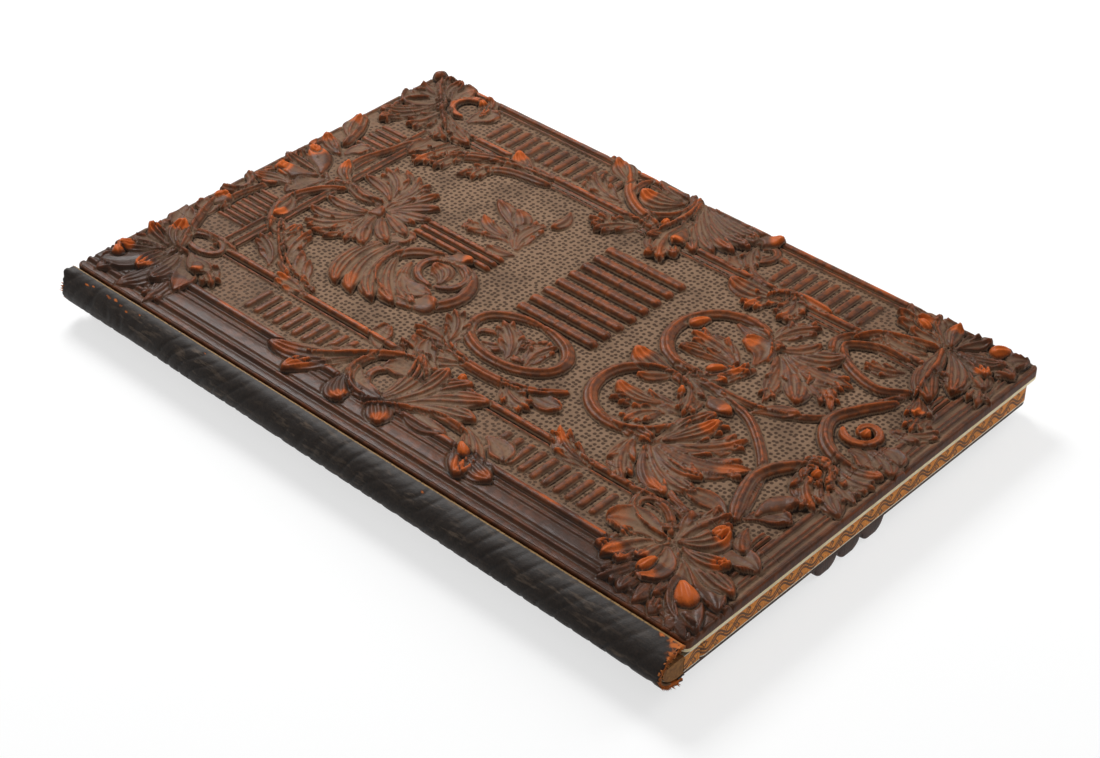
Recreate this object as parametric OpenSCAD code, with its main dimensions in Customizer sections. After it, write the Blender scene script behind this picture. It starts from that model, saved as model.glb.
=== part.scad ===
// Stamp album in embossed leather: two carved-looking boards, a round leather spine
// and a block of card leaves on cloth guards. Millimetres.
// X runs from the spine to the fore-edge, Y from the tail to the head, Z up.
// The album lies shut on the bosses of its back cover. The origin is under its middle.

/* [Boards] */
// Width of a board, from the joint groove to the fore-edge
board_w = 205; // [170:1:260]
// Height of a board, from the tail to the head
board_h = 318; // [260:1:380]
// Thickness of the front board, without leather
front_board_t = 2.4; // [1.6:0.1:5]
// Thickness of the back board, without leather
back_board_t = 2.4; // [1.6:0.1:5]
// How far the back board stays inside the front one at head, tail and fore-edge
back_inset = 2.2; // [0.5:0.1:5]
// Radius of the board corners
corner_r = 3; // [1.5:0.5:6]
// Thickness of the leather that turns down over the edge of a board
turn_in_t = 0.4; // [0.2:0.1:0.8]

/* [Embossed leather] */
// Thickness of the front leather, from its board to the level of the rim
front_leather_t = 2.4; // [1.9:0.1:4]
// Height of the tallest leaves above the rim of the front cover
front_relief_h = 3.6; // [2:0.1:6]
// Depth of the stippled centre field below the rim
field_drop = 1.3; // [0.4:0.1:1.4]
// Depth of the frame panels below the rim
panel_drop = 0.8; // [0.2:0.1:1.2]
// Height of the rounded ridges above the rim
ridge_h = 1.1; // [0.4:0.1:2]
// Height of the small fillets beside the ridges
fillet_h = 0.3; // [0.1:0.05:0.6]
// Thickness of the back leather under its ground
back_leather_t = 0.8; // [0.5:0.1:2]
// Depth of the bosses under the ground of the back cover
back_relief_h = 5; // [3:0.1:8]
// Diameter of the flat medallion in the middle of the back cover
medallion_d = 44; // [30:1:70]

/* [Linings] */
// Thickness of the cream card that lines the front board
lining_t = 0.8; // [0.4:0.1:2]
// Thickness of the paper pasted inside each board
pastedown_t = 0.3; // [0.2:0.05:0.6]
// Margin of bare lining around the pasted paper
pastedown_margin = 2; // [1:0.5:12]

/* [Leaves] */
// Number of card leaves
leaf_count = 8; // [4:1:10]
// Thickness of a card leaf
leaf_t = 0.55; // [0.3:0.05:1]
// Thickness of a flyleaf
flyleaf_t = 0.3; // [0.2:0.05:0.6]
// Air between two leaves
leaf_gap = 0.25; // [0.2:0.05:0.5]
// How far the leaves stop short of the fore-edge of the front board
leaf_fore_inset = 4.5; // [2:0.5:12]
// How far the leaves stop short of the board at head and tail
leaf_end_inset = 0.8; // [0.4:0.1:6]
// Width of the cloth guard that carries a leaf
guard_w = 7.7; // [5:0.1:16]
// Thickness of the cloth guard
guard_t = 0.3; // [0.2:0.05:0.4]

/* [Spine] */
// How far the spine stands out past the boards at the tail
spine_depth_tail = 13.4; // [9:0.2:18]
// How far the spine stands out past the boards at the head
spine_depth_head = 8.6; // [7.6:0.2:18]
// Thickness of the spine leather
spine_leather_t = 1.2; // [0.8:0.1:2]
// Thickness of the card liner behind the spine leather
liner_t = 0.6; // [0.3:0.1:1]
// Thickness of the gauze glued over the stubs
mull_t = 0.3; // [0.2:0.1:0.6]
// Width of a sewing tape
tape_w = 14; // [8:1:20]
// Thickness of a sewing tape
tape_t = 0.4; // [0.2:0.1:0.6]
// Number of sewing tapes
tape_count = 3; // [2:1:5]
// Width of the groove between a board and the spine leather
joint_gap = 0.8; // [0.5:0.1:1.5]
// Width of the leather strip in the joint groove
joint_strip_w = 2.5; // [1.5:0.1:4]
// Thickness of the leather strip in the joint groove
joint_strip_t = 0.6; // [0.4:0.1:1]

/* [Hidden] */
// Clearance between glued layers of the spine
glue_gap = 0.05;
// Air between the joint strips and the boards
strip_gap = 0.1;
// Air between a stub and its guard
stub_gap = 0.3;
// How far the leather of the spine stops inside the outer faces of the covers
spine_drop = 0.4;
// Sides of the half-round spine
spine_sides = 18;
// Distance between the repeated cross-sections of the tapered spine
station_pitch = 40;
// How far round the spine its inner layers reach on either side of its middle
layer_reach = 60;
// Slope that the relief stays under beside the joint
joint_slope = 0.28;
// Width of the bare moat round the back medallion, and of its sloping rim
moat_w = 6;
medallion_rim = 2;

// Heights of the layers, from the floor up
back_ground_z = back_relief_h;
back_board_z = back_ground_z + back_leather_t;
back_paste_z = back_board_z + back_board_t;
back_fly_z = back_paste_z + pastedown_t + leaf_gap;
first_leaf_z = back_fly_z + flyleaf_t + leaf_gap;
leaf_pitch = leaf_t + leaf_gap;
front_fly_z = first_leaf_z + leaf_count * leaf_pitch;
front_paste_z = front_fly_z + flyleaf_t + leaf_gap;
front_lining_z = front_paste_z + pastedown_t;
front_board_z = front_lining_z + lining_t;
front_leather_z = front_board_z + front_board_t;
rim_z = front_leather_z + front_leather_t;

// The half-round of the spine
spine_z = (back_ground_z + rim_z) / 2;
spine_half_h = (rim_z - back_ground_z) / 2 - spine_drop;
liner_in = spine_leather_t + glue_gap;
tape_in = liner_in + liner_t + glue_gap;
mull_in = tape_in + tape_t + glue_gap;
stub_in = mull_in + mull_t + glue_gap;
stub_low_z = back_paste_z + glue_gap;
stub_high_z = front_paste_z - leaf_gap;

// The embossing is laid out on a plate of its own size, which FRONT_U and FRONT_V end at,
// and is stretched to the board.
// Front cover: fans of leaves
// [u, v, first angle, last angle, leaves, length, width, height as a share of the relief]
FRONT_FANS = [
    [33, 32, 95, 345, 6, 27, 12, 0.95],
    [186, 29, -165, 95, 6, 24, 11, 0.9],
    [32, 288, 70, 290, 6, 26, 11, 0.9],
    [186, 289, -75, 165, 6, 26, 11, 0.9],
    [42, 160, 125, 235, 4, 32, 10, 0.8],
    [186, 158, -70, 70, 4, 22, 9, 0.8],
    [190, 156, 165, 195, 2, 26, 8, 0.75],
    [110, 292, 5, 175, 5, 27, 9, 0.85],
    [110, 262, 150, 390, 8, 24, 8, 0.5],
    [56, 100, 190, 275, 3, 30, 9, 0.6],
    [172, 105, -100, 20, 3, 24, 9, 0.6],
    [84, 82, 215, 300, 4, 36, 9, 0.6],
    [138, 82, 240, 325, 4, 36, 9, 0.6],
    [88, 93, 20, 260, 3, 15, 8, 0.5],
    [133, 93, 20, 260, 3, 15, 8, 0.5],
    [90, 210, 60, 240, 4, 17, 7, 0.5],
    [126, 200, 20, 100, 4, 24, 7, 0.5],
    [82, 152, 60, 300, 4, 15, 7, 0.5],
    [62, 248, 20, 80, 3, 26, 8, 0.55],
    [164, 246, 95, 160, 3, 26, 8, 0.55],
    [110, 20, 30, 150, 4, 18, 7, 0.6]
];
// Front cover: scrolls and stems
// [u, v, radius along u, radius along v, first angle, last angle, width, height share]
FRONT_SCROLLS = [
    [89, 97, 20, 20, -60, 230, 5, 0.6],
    [133, 97, 21, 20, -60, 230, 5, 0.6],
    [89, 211, 22, 21, 0, 360, 6, 0.55],
    [82, 152, 14, 23, 0, 360, 5, 0.55],
    [98, 244, 47, 46, 95, 185, 6, 0.6],
    [130, 240, 44, 44, -5, 80, 6, 0.6],
    [96, 20, 10, 9, 0, 300, 4, 0.65],
    [124, 20, 10, 9, -120, 180, 4, 0.65],
    [62, 40, 34, 16, 190, 350, 4, 0.6],
    [156, 38, 30, 14, 190, 350, 4, 0.6]
];
// Front cover: upright reeds in the field
// [first u, last u, reeds, low v, high v, width, height share]
FRONT_REEDS = [
    [102, 150, 7, 130, 170, 4, 0.5],
    [110, 118, 3, 196, 240, 3, 0.45]
];
// Back cover: fans that end in rounded lobes, laid out as on the front
BACK_FANS = [
    [30, 30, 100, 350, 5, 26, 13, 0.6],
    [175, 30, -170, 80, 5, 26, 13, 0.6],
    [30, 288, 10, 260, 5, 26, 13, 0.6],
    [175, 288, -80, 170, 5, 26, 13, 0.6],
    [22, 159, 120, 240, 3, 19, 14, 1],
    [182, 159, -60, 60, 3, 19, 14, 1],
    [102, 159, 0, 315, 8, 34, 14, 0.75]
];
// Lobes at the middle of the tail and of the head: first u, pitch, width, half length and
// distance of their middle from the edge
LOBES = [78.5, 13.5, 13, 13, 4];
// Frame of the back cover: distance from the edges, half width and height share
BACK_FRAME = [15, 3, 0.25];

// Grid lines of the front plate, closer where the mouldings run
FRONT_U = concat(
    [0, 2, 4, 5.5, 7, 10.5, 12, 17, 19.5, 21, 22.5, 25, 31, 37, 43, 45, 46.5, 48, 49.5, 51.5],
    [for (u = [54 : 4 : 170]) u],
    [172.5, 174, 175.5, 177, 179.5, 186, 192, 198, 200, 201.8, 203.4, 205]);
FRONT_V = concat(
    [0, 4, 8, 9.5, 11, 12.5],
    [for (v = [17 : 5.5 : 281]) v],
    [282.5, 284.5, 286.5, 289, 294, 299, 304, 309, 314, 318]);
function last(list) = list[len(list) - 1];
PLATE = [last(FRONT_U), last(FRONT_V)];
BACK_U = [for (i = [0 : 36]) PLATE[0] * i / 36];
BACK_V = [for (i = [0 : 54]) PLATE[1] * i / 54];

// Every leaf of a list of fans: [u, v, angle, length, width, height share]
function fan_leaves(fans) = [
    for (f = fans) for (i = [0 : f[4] - 1])
        [f[0], f[1], f[2] + (f[3] - f[2]) * i / (f[4] - 1), f[5], f[6], f[7]]
];

// Share of the relief that one leaf gives at a point
function leaf_share(m, u, v) =
    let (du = u - m[0], dv = v - m[1],
         along = (du * cos(m[2]) + dv * sin(m[2])) / m[3],
         across = dv * cos(m[2]) - du * sin(m[2]))
    along <= 0 || along >= 1 ? 0 :
    let (half = m[4] / 2 * sin(180 * pow(along, 1.3)))
    abs(across) >= half ? 0 :
    m[5] * (0.55 + 0.45 * along) * sqrt(1 - pow(across / half, 2));

// Share of the relief that one scroll gives at a point
function scroll_share(m, u, v) =
    let (du = (u - m[0]) / m[2], dv = (v - m[1]) / m[3],
         off = abs(norm([du, dv]) - 1) * min(m[2], m[3]) / (m[6] / 2),
         turn = (atan2(dv, du) - m[4] + 720) % 360)
    off >= 1 || turn > m[5] - m[4] ? 0 : m[7] * sqrt(1 - off * off);

// Share of the relief that a row of upright reeds gives at a point
function reed_share(m, u, v) =
    v < m[3] || v > m[4] ? 0 :
    let (pitch = (m[1] - m[0]) / (m[2] - 1),
         n = round((u - m[0]) / pitch),
         off = abs(u - m[0] - n * pitch) / (m[5] / 2))
    n < 0 || n >= m[2] || off >= 1 ? 0 : m[6] * sqrt(1 - off * off);

// Height of the front mouldings against the rim
function front_moulding(u, v) =
    u < 2 ? 0 : u < 5 ? fillet_h : u < 6 ? -2 * fillet_h : u < 10.6 ? fillet_h :
    u < 17 ? 0 : u < 19 ? -fillet_h :
    u < 22 ? ridge_h * (abs(u - 21) < 0.5 ? 1 : 0.6) :
    v < 8.5 ? 0 : v < 10 ? fillet_h : v < 13 ? -fillet_h :
    u > 203 || v > 310 ? 0 :
    u > 199.5 && u < 202.5 ? ridge_h * (abs(u - 201.8) < 0.5 ? 1 : 0.6) :
    v > 281.5 && v < 287.5 && u > 44 && u < 180 ? ridge_h * (v == 284.5 ? 0.5 : 1) :
    u > 46 && u < 50 && v > 40 && v < 288 ? ridge_h * (u == 48 ? 1 : 0.7) :
    u > 173.5 && u < 177.5 && v > 40 && v < 288 ? ridge_h * (u == 175.5 ? 1 : 0.7) :
    u > 51 && u < 173 && v > 13 && v < 281.5 ? -field_drop : -panel_drop;

// Tallest share that any motif of a list gives at a point
function fans_share(leaves, u, v) = max([for (m = leaves) leaf_share(m, u, v)]);
function scrolls_share(u, v) = max([for (m = FRONT_SCROLLS) scroll_share(m, u, v)]);
function reeds_share(u, v) = max([for (m = FRONT_REEDS) reed_share(m, u, v)]);

// Height of the front relief against the rim. Near the joint it stays low, so that the
// opened cover clears the spine.
function front_height(leaves, u, v) =
    let (share = max(fans_share(leaves, u, v), scrolls_share(u, v), reeds_share(u, v)),
         motif = share * (front_relief_h + panel_drop) - panel_drop)
    min(max(front_moulding(u, v), share > 0 ? motif : -field_drop),
        max(fillet_h, joint_slope * u / PLATE[0] * board_w));

// Share of the relief that the three lobes at an end edge give at a distance from that edge
function lobe_share(u, reach) =
    let (n = round((u - LOBES[0]) / LOBES[1]),
         off = norm([(u - LOBES[0] - n * LOBES[1]) / (LOBES[2] / 2), (reach - LOBES[4]) / LOBES[3]]))
    n < 0 || n > 2 || off >= 1 ? 0 : sqrt(1 - off * off);

// Depth of the back relief under its ground
function back_depth(leaves, u, v) =
    let (lobes = max(lobe_share(u, v), lobe_share(u, PLATE[1] - v)),
         edge = min(u, PLATE[0] - u, v, PLATE[1] - v),
         frame = abs(edge - BACK_FRAME[0]) < BACK_FRAME[1] ? BACK_FRAME[2] : 0)
    norm([u - PLATE[0] / 2, v - PLATE[1] / 2]) < medallion_d / 2 + moat_w ? 0 :
    back_relief_h * min(1, max(frame, 1.1 * lobes, 1.1 * fans_share(leaves, u, v)));

// Pulls a point of the corner squares onto round corners
function round_corner(p, x0, x1, y0, y1, r) =
    let (cx = p[0] < x0 + r ? x0 + r : p[0] > x1 - r ? x1 - r : p[0],
         cy = p[1] < y0 + r ? y0 + r : p[1] > y1 - r ? y1 - r : p[1],
         a = p[0] - cx, b = p[1] - cy)
    a == 0 || b == 0 ? p : let (k = max(abs(a), abs(b)) / norm([a, b])) [cx + a * k, cy + b * k];

// A plate with round corners: one flat face at flat_z, one relief face with heights given
// point by point, as rows of equal length. up is true when the relief is on top.
module relief_plate(grid, heights, flat_z, up) {
    rows = len(grid);
    cols = len(grid[0]);
    relief = [for (j = [0 : rows - 1]) for (i = [0 : cols - 1])
        [grid[j][i][0], grid[j][i][1], heights[j][i]]];
    rim = concat(
        [for (i = [0 : cols - 1]) i],
        [for (j = [1 : rows - 1]) j * cols + cols - 1],
        [for (i = [cols - 2 : -1 : 0]) (rows - 1) * cols + i],
        [for (j = [rows - 2 : -1 : 1]) j * cols]);
    count = rows * cols;
    flat = [for (k = rim) [relief[k][0], relief[k][1], flat_z]];
    top = [for (j = [0 : rows - 2]) for (i = [0 : cols - 2])
        let (a = j * cols + i, b = a + 1, c = a + cols + 1, d = a + cols)
        each (i + j) % 2 == 0 ? [[a, d, c], [a, c, b]] : [[a, d, b], [b, d, c]]];
    sides = [for (k = [0 : len(rim) - 1])
        let (n = (k + 1) % len(rim)) [rim[k], rim[n], count + n, count + k]];
    faces = concat(top, sides, [[for (k = [0 : len(rim) - 1]) count + k]]);
    polyhedron(
        points = concat(relief, flat),
        faces = up ? faces : [for (f = faces) [f[0], for (k = [len(f) - 1 : -1 : 1]) f[k]]]);
}

// A flat board with round corners, from u0 to u1 and v0 to v1
module board(u0, u1, v0, v1, z, t, r) {
    translate([0, 0, z]) linear_extrude(t) {
        for (u = [u0 + r, u1 - r]) for (v = [v0 + r, v1 - r]) translate([u, v]) circle(r, $fn = 32);
        translate([u0 + r, v0]) square([u1 - u0 - 2 * r, v1 - v0]);
        translate([u0, v0 + r]) square([u1 - u0, v1 - v0 - 2 * r]);
    }
}

// Moves a shape from the joint at the tail to the album's own origin
module placed() {
    translate([(spine_depth_tail - board_w) / 2, -board_h / 2, 0]) children();
}

// How far the spine stands out at a height up the album
function spine_depth(v) = spine_depth_tail + (spine_depth_head - spine_depth_tail) * v / board_h;

// Angles round the spine, from the front joint to the back one, which every layer shares
SPINE_ANGLES = [for (i = [0 : spine_sides]) 90 - 180 * i / spine_sides];

// Cross-section of the half-round spine at an inset
function half_round(v, inset, angles) = [
    for (a = angles)
        [-joint_gap - (spine_depth(v) - inset - joint_gap) * cos(a), v,
         spine_z + (spine_half_h - inset) * sin(a)]
];

// Height of the hollow of the spine leather over the spine's middle, at a distance past
// the boards, where the spine is narrowest
function hollow_height(past) =
    let (depth = min(spine_depth_tail, spine_depth_head) - spine_leather_t - joint_gap,
         share = (past - joint_gap) / depth)
    (spine_half_h - spine_leather_t) * sqrt(1 - share * share);

// Places along the spine where its cross-section is repeated
function stations(v0, v1) =
    let (count = max(1, round((v1 - v0) / station_pitch)))
    [for (i = [0 : count]) v0 + (v1 - v0) * i / count];

// Joins cross-sections of equal length into one solid. cap lists the faces of its last end.
module loft(sections, cap) {
    n = len(sections[0]);
    ends = (len(sections) - 1) * n;
    polyhedron(
        points = [for (section = sections) each section],
        faces = concat(
            [for (j = [0 : n : ends - 1]) for (i = [0 : n - 1])
                let (k = (i + 1) % n) [j + i, j + k, j + n + k, j + n + i]],
            [for (face = cap) [for (i = [len(face) - 1 : -1 : 0]) face[i]]],
            [for (face = cap) [for (i = face) ends + i]]));
}

// A layer of the spine between two insets, over a stretch of its length
module spine_layer(outer, inner, v0, v1, reach) {
    angles = [for (a = SPINE_ANGLES) if (abs(a) <= reach) a];
    back = [for (i = [len(angles) - 1 : -1 : 0]) angles[i]];
    n = len(angles);
    loft(
        [for (v = stations(v0, v1)) concat(half_round(v, outer, angles), half_round(v, inner, back))],
        [for (i = [0 : n - 2]) [i, i + 1, 2 * n - 2 - i, 2 * n - 1 - i]]);
}

module front_leather() {
    leaves = fan_leaves(FRONT_FANS);
    grid = [for (v = FRONT_V) [for (u = FRONT_U)
        round_corner([u / PLATE[0] * board_w, v / PLATE[1] * board_h], 0, board_w, 0, board_h, corner_r)]];
    heights = [for (v = FRONT_V) [for (u = FRONT_U) rim_z + front_height(leaves, u, v)]];
    color("#5a3322") placed() relief_plate(grid, heights, front_leather_z, true);
}

module front_board() {
    color("#8a7458") placed()
        board(turn_in_t, board_w - turn_in_t, turn_in_t, board_h - turn_in_t,
              front_board_z, front_board_t, corner_r);
}

module front_lining() {
    color("#e8d9b5") placed()
        board(turn_in_t, board_w - turn_in_t, turn_in_t, board_h - turn_in_t,
              front_lining_z, lining_t, corner_r);
}

module front_pastedown() {
    m = turn_in_t + pastedown_margin;
    color("#efe4c8") placed()
        board(m, board_w - m, m, board_h - m, front_paste_z, pastedown_t, corner_r);
}

module back_leather() {
    leaves = fan_leaves(BACK_FANS);
    x1 = board_w - back_inset;
    y1 = board_h - back_inset;
    grid = [for (v = BACK_V) [for (u = BACK_U)
        round_corner([u / PLATE[0] * x1, back_inset + v / PLATE[1] * (y1 - back_inset)],
                     0, x1, back_inset, y1, corner_r)]];
    heights = [for (v = BACK_V) [for (u = BACK_U) back_ground_z - back_depth(leaves, u, v)]];
    color("#3b2118") placed() relief_plate(grid, heights, back_board_z, false);
}

module back_medallion() {
    color("#4a2a1c") placed() translate([board_w / 2, board_h / 2, 0]) {
        cylinder(d = medallion_d - 2 * medallion_rim, h = back_ground_z, $fn = 64);
        translate([0, 0, back_ground_z / 2]) cylinder(d = medallion_d, h = back_ground_z / 2, $fn = 64);
    }
}

module back_board() {
    color("#8a7458") placed()
        board(turn_in_t, board_w - back_inset - turn_in_t,
              back_inset + turn_in_t, board_h - back_inset - turn_in_t,
              back_board_z, back_board_t, corner_r);
}

module back_pastedown() {
    m = turn_in_t + pastedown_margin;
    color("#efe4c8") placed()
        board(m, board_w - back_inset - m, back_inset + m, board_h - back_inset - m,
              back_paste_z, pastedown_t, corner_r);
}

module spine_leather() {
    color("#1d1716") placed() spine_layer(0, spine_leather_t, 0, board_h, 90);
}

module spine_liner() {
    color("#9c8c72") placed()
        spine_layer(liner_in, liner_in + liner_t, leaf_end_inset, board_h - leaf_end_inset, layer_reach);
}

module sewing_tapes() {
    color("#d8ccb0") placed() for (i = [1 : tape_count]) {
        v = board_h * i / (tape_count + 1);
        spine_layer(tape_in, tape_in + tape_t, v - tape_w / 2, v + tape_w / 2, layer_reach);
    }
}

module mull() {
    color("#cfc4a8") placed()
        spine_layer(mull_in, mull_in + mull_t, 2 * leaf_end_inset, board_h - 2 * leaf_end_inset,
                    layer_reach);
}

// The folded ends of the guards, sewn and glued into one rounded back
module guard_stubs() {
    high = asin(min(0.98, (stub_high_z - spine_z) / (spine_half_h - stub_in)));
    low = asin(max(-0.98, (stub_low_z - spine_z) / (spine_half_h - stub_in)));
    angles = concat([high], [for (a = SPINE_ANGLES) if (a < high - 1 && a > low + 1) a], [low]);
    function section(v) =
        let (arc = half_round(v, stub_in, angles))
        concat(arc, [[0, v, last(arc)[2]], [0, v, arc[0][2]]]);
    color("#c9762f") placed() loft(
        [for (v = stations(leaf_end_inset, board_h - leaf_end_inset)) section(v)],
        [[for (i = [0 : len(angles) + 1]) i]]);
}

module joint_strip(z) {
    color("#241a17") placed()
        translate([-strip_gap - joint_strip_w, leaf_end_inset, z])
            cube([joint_strip_w, board_h - 2 * leaf_end_inset, joint_strip_t]);
}

module front_joint_leather() {
    joint_strip(spine_z + hollow_height(strip_gap + joint_strip_w) - strip_gap - joint_strip_t);
}

module back_joint_leather() {
    joint_strip(spine_z - hollow_height(strip_gap + joint_strip_w) + strip_gap);
}

// One leaf beyond its guard
module leaf(z, t) {
    u0 = stub_gap + guard_w;
    color("#ead9b4") placed()
        board(u0, board_w - leaf_fore_inset, leaf_end_inset, board_h - leaf_end_inset, z, t, corner_r / 3);
}

// The cloth guard that carries a leaf, at half the leaf's thickness
module guard(z, t) {
    g = min(guard_t, t);
    color("#b9ab8a") placed()
        translate([stub_gap, 2 * leaf_end_inset, z + (t - g) / 2])
            cube([guard_w, board_h - 4 * leaf_end_inset, g]);
}

module front_flyleaf() { leaf(front_fly_z, flyleaf_t); }
module front_flyleaf_guard() { guard(front_fly_z, flyleaf_t); }
module back_flyleaf() { leaf(back_fly_z, flyleaf_t); }
module back_flyleaf_guard() { guard(back_fly_z, flyleaf_t); }

// Leaf 1 is the first one under the front cover
function leaf_z(k) = first_leaf_z + (leaf_count - k) * leaf_pitch;

front_leather();
front_board();
front_lining();
front_pastedown();
back_leather();
back_medallion();
back_board();
back_pastedown();
spine_leather();
spine_liner();
sewing_tapes();
mull();
guard_stubs();
front_joint_leather();
back_joint_leather();
front_flyleaf();
front_flyleaf_guard();
back_flyleaf();
back_flyleaf_guard();
for (k = [1 : leaf_count])
    leaf(leaf_z(k), leaf_t);
for (k = [1 : leaf_count])
    guard(leaf_z(k), leaf_t);
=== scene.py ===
"""Dresses the stamp album: embossed leather covers, round spine, card leaves and linings."""

import logging
import math
from collections.abc import Iterable
from dataclasses import dataclass
from enum import Enum
from typing import Any

import bpy
import numpy as np
from mathutils import Matrix, Vector


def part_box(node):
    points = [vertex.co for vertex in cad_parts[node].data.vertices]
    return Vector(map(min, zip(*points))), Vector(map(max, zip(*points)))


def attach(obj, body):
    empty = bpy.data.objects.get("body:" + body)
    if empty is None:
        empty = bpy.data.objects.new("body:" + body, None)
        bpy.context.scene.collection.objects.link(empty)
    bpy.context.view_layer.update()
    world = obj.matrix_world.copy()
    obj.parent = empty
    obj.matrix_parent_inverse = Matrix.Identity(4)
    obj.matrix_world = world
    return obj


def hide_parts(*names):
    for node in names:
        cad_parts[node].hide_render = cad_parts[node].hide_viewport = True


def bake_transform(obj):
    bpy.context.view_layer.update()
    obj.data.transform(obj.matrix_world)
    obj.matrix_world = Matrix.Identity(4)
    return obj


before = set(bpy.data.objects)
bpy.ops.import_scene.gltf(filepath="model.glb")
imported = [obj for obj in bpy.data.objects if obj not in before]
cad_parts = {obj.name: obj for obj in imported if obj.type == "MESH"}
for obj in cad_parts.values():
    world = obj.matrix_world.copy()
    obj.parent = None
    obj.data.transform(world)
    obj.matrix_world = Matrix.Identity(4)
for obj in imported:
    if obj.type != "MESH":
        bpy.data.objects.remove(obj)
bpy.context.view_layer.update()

log = logging.getLogger("album")

MM = 0.001
BOARD_W = 205.0
BOARD_H = 318.0
CORNER_R = 3.0
SPINE_DEPTH_TAIL = 13.4
SPINE_DEPTH_HEAD = 8.6
JOINT_GAP = 0.8
JOINT_AXIS_U = -0.4
RELIEF_OVER_BOARD = 2.4
CORNER_POINTS = 7
LINE_POINTS = 18
LEAF_SWELL = 1.22
SHORT = 1e-6

Point = tuple[float, float]
Place = tuple[float, float, float]
Array = np.ndarray
Socket = bpy.types.NodeSocket
Piece = bpy.types.Object
Material = bpy.types.Material


# ---------------- sizes


def span(node: str) -> tuple[Array, Array]:
    """Gives a solid's lowest and highest corner in millimetres."""
    low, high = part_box(node)
    return np.array(low) / MM, np.array(high) / MM


@dataclass(frozen=True)
class AlbumSizes:
    """Places of the layers in millimetres, with u from the joint and v from the tail, both 0 at the origin."""

    origin: Point
    rim: float
    board_top: float
    board_low: float
    ground: float
    spine_z: float
    spine_half: float

    @classmethod
    def from_solids(cls) -> "AlbumSizes":
        """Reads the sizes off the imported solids.

        Returns:
            The sizes.
        """
        low, _ = span("front_leather")
        spine_low, spine_high = span("spine_leather")
        board_low, board_high = span("front_board")
        _, medallion_high = span("back_medallion")
        return cls(
            origin=(float(low[0]), float(low[1])),
            rim=float(board_high[2]) + RELIEF_OVER_BOARD,
            board_top=float(board_high[2]),
            board_low=float(board_low[2]),
            ground=float(medallion_high[2]),
            spine_z=float(spine_low[2] + spine_high[2]) / 2,
            spine_half=float(spine_high[2] - spine_low[2]) / 2,
        )

    def metres(self, u: float, v: float, z: float) -> Place:
        """Gives a place of the album in metres."""
        return (u + self.origin[0]) * MM, (v + self.origin[1]) * MM, z * MM

    def plan(self, node: str) -> tuple[Array, Array]:
        """Gives a solid's lowest and highest corner as u, v and z."""
        low, high = span(node)
        return low - [*self.origin, 0.0], high - [*self.origin, 0.0]


SIZES = AlbumSizes.from_solids()


def smooth_step(low: float, high: float, x: Array) -> Array:
    """Rises smoothly from 0 at low to 1 at high."""
    t = np.clip((x - low) / (high - low), 0.0, 1.0)
    return t * t * (3.0 - 2.0 * t)


def drift(x: Array, y: Array, seed: int) -> Array:
    """Gives smooth random values between -1 and 1, one cell per unit.

    Args:
        x: Places along the first direction, in cells.
        y: Places along the second direction, in cells.
        seed: Fixed seed of the lattice.

    Returns:
        The values, in the shape of x.
    """
    lattice = np.random.default_rng(seed).uniform(-1.0, 1.0, (64, 64))
    x, y = np.broadcast_arrays(x, y)
    i, j = np.floor(x).astype(int), np.floor(y).astype(int)
    fx, fy = x - i, y - j
    fx, fy = fx * fx * (3 - 2 * fx), fy * fy * (3 - 2 * fy)
    a, b = lattice[j % 64, i % 64], lattice[j % 64, (i + 1) % 64]
    c, d = lattice[(j + 1) % 64, i % 64], lattice[(j + 1) % 64, (i + 1) % 64]
    return (a * (1 - fx) + b * fx) * (1 - fy) + (c * (1 - fx) + d * fx) * fy


def box_blur(heights: Array, cells: int) -> Array:
    """Averages heights over a square of 2 * cells + 1 points, with held edges.

    Args:
        heights: The heights.
        cells: Reach of the square.

    Returns:
        The averages.
    """
    size = 2 * cells + 1
    out = heights
    for _ in range(2):
        total = np.cumsum(np.pad(out, ((cells + 1, cells), (0, 0)), mode="edge"), axis=0)
        out = ((total[size:] - total[:-size]) / size).T
    return out


# ---------------- finishes


def tone(code: str) -> tuple[float, float, float, float]:
    """Turns a hex colour into linear values."""
    parts = [int(code[i:i + 2], 16) / 255 for i in (1, 3, 5)]
    return (*(c / 12.92 if c <= 0.04045 else ((c + 0.055) / 1.055) ** 2.4 for c in parts), 1.0)


class Tree:
    """A tree of nodes, built step by step."""

    def __init__(self, tree: bpy.types.NodeTree) -> None:
        """Keeps the tree."""
        self.tree = tree

    def node(self, kind: str, settings: dict[str, Any], sockets: dict[int | str, Any]) -> bpy.types.Node:
        """Adds any node.

        Args:
            kind: The node's type.
            settings: Its own settings, set first.
            sockets: Values or links for its inputs, by index or name.

        Returns:
            The node.
        """
        made = self.tree.nodes.new(kind)
        for key, value in settings.items():
            setattr(made, key, value)
        for key, value in sockets.items():
            self.feed(made.inputs[key], value)
        return made

    def feed(self, socket: Socket, value: Any) -> None:
        """Links a socket to a value, or sets it.

        Args:
            socket: The input.
            value: A link, a number, a vector or the hex code of a colour.
        """
        value = value.socket if isinstance(value, Value) else value
        if isinstance(value, Socket):
            self.tree.links.new(value, socket)
        else:
            socket.default_value = tone(value) if isinstance(value, str) else value

    def seen_rays(self) -> "Value":
        """Gives 1 for rays that see a thing directly, in a gloss or through glass, else 0.

        Returns:
            The 1 or 0.
        """
        path = self.node("ShaderNodeLightPath", {}, {}).outputs
        seen = Value(self, path["Is Camera Ray"]).over(Value(self, path["Is Glossy Ray"]))
        return seen.over(Value(self, path["Is Transmission Ray"]))


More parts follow.
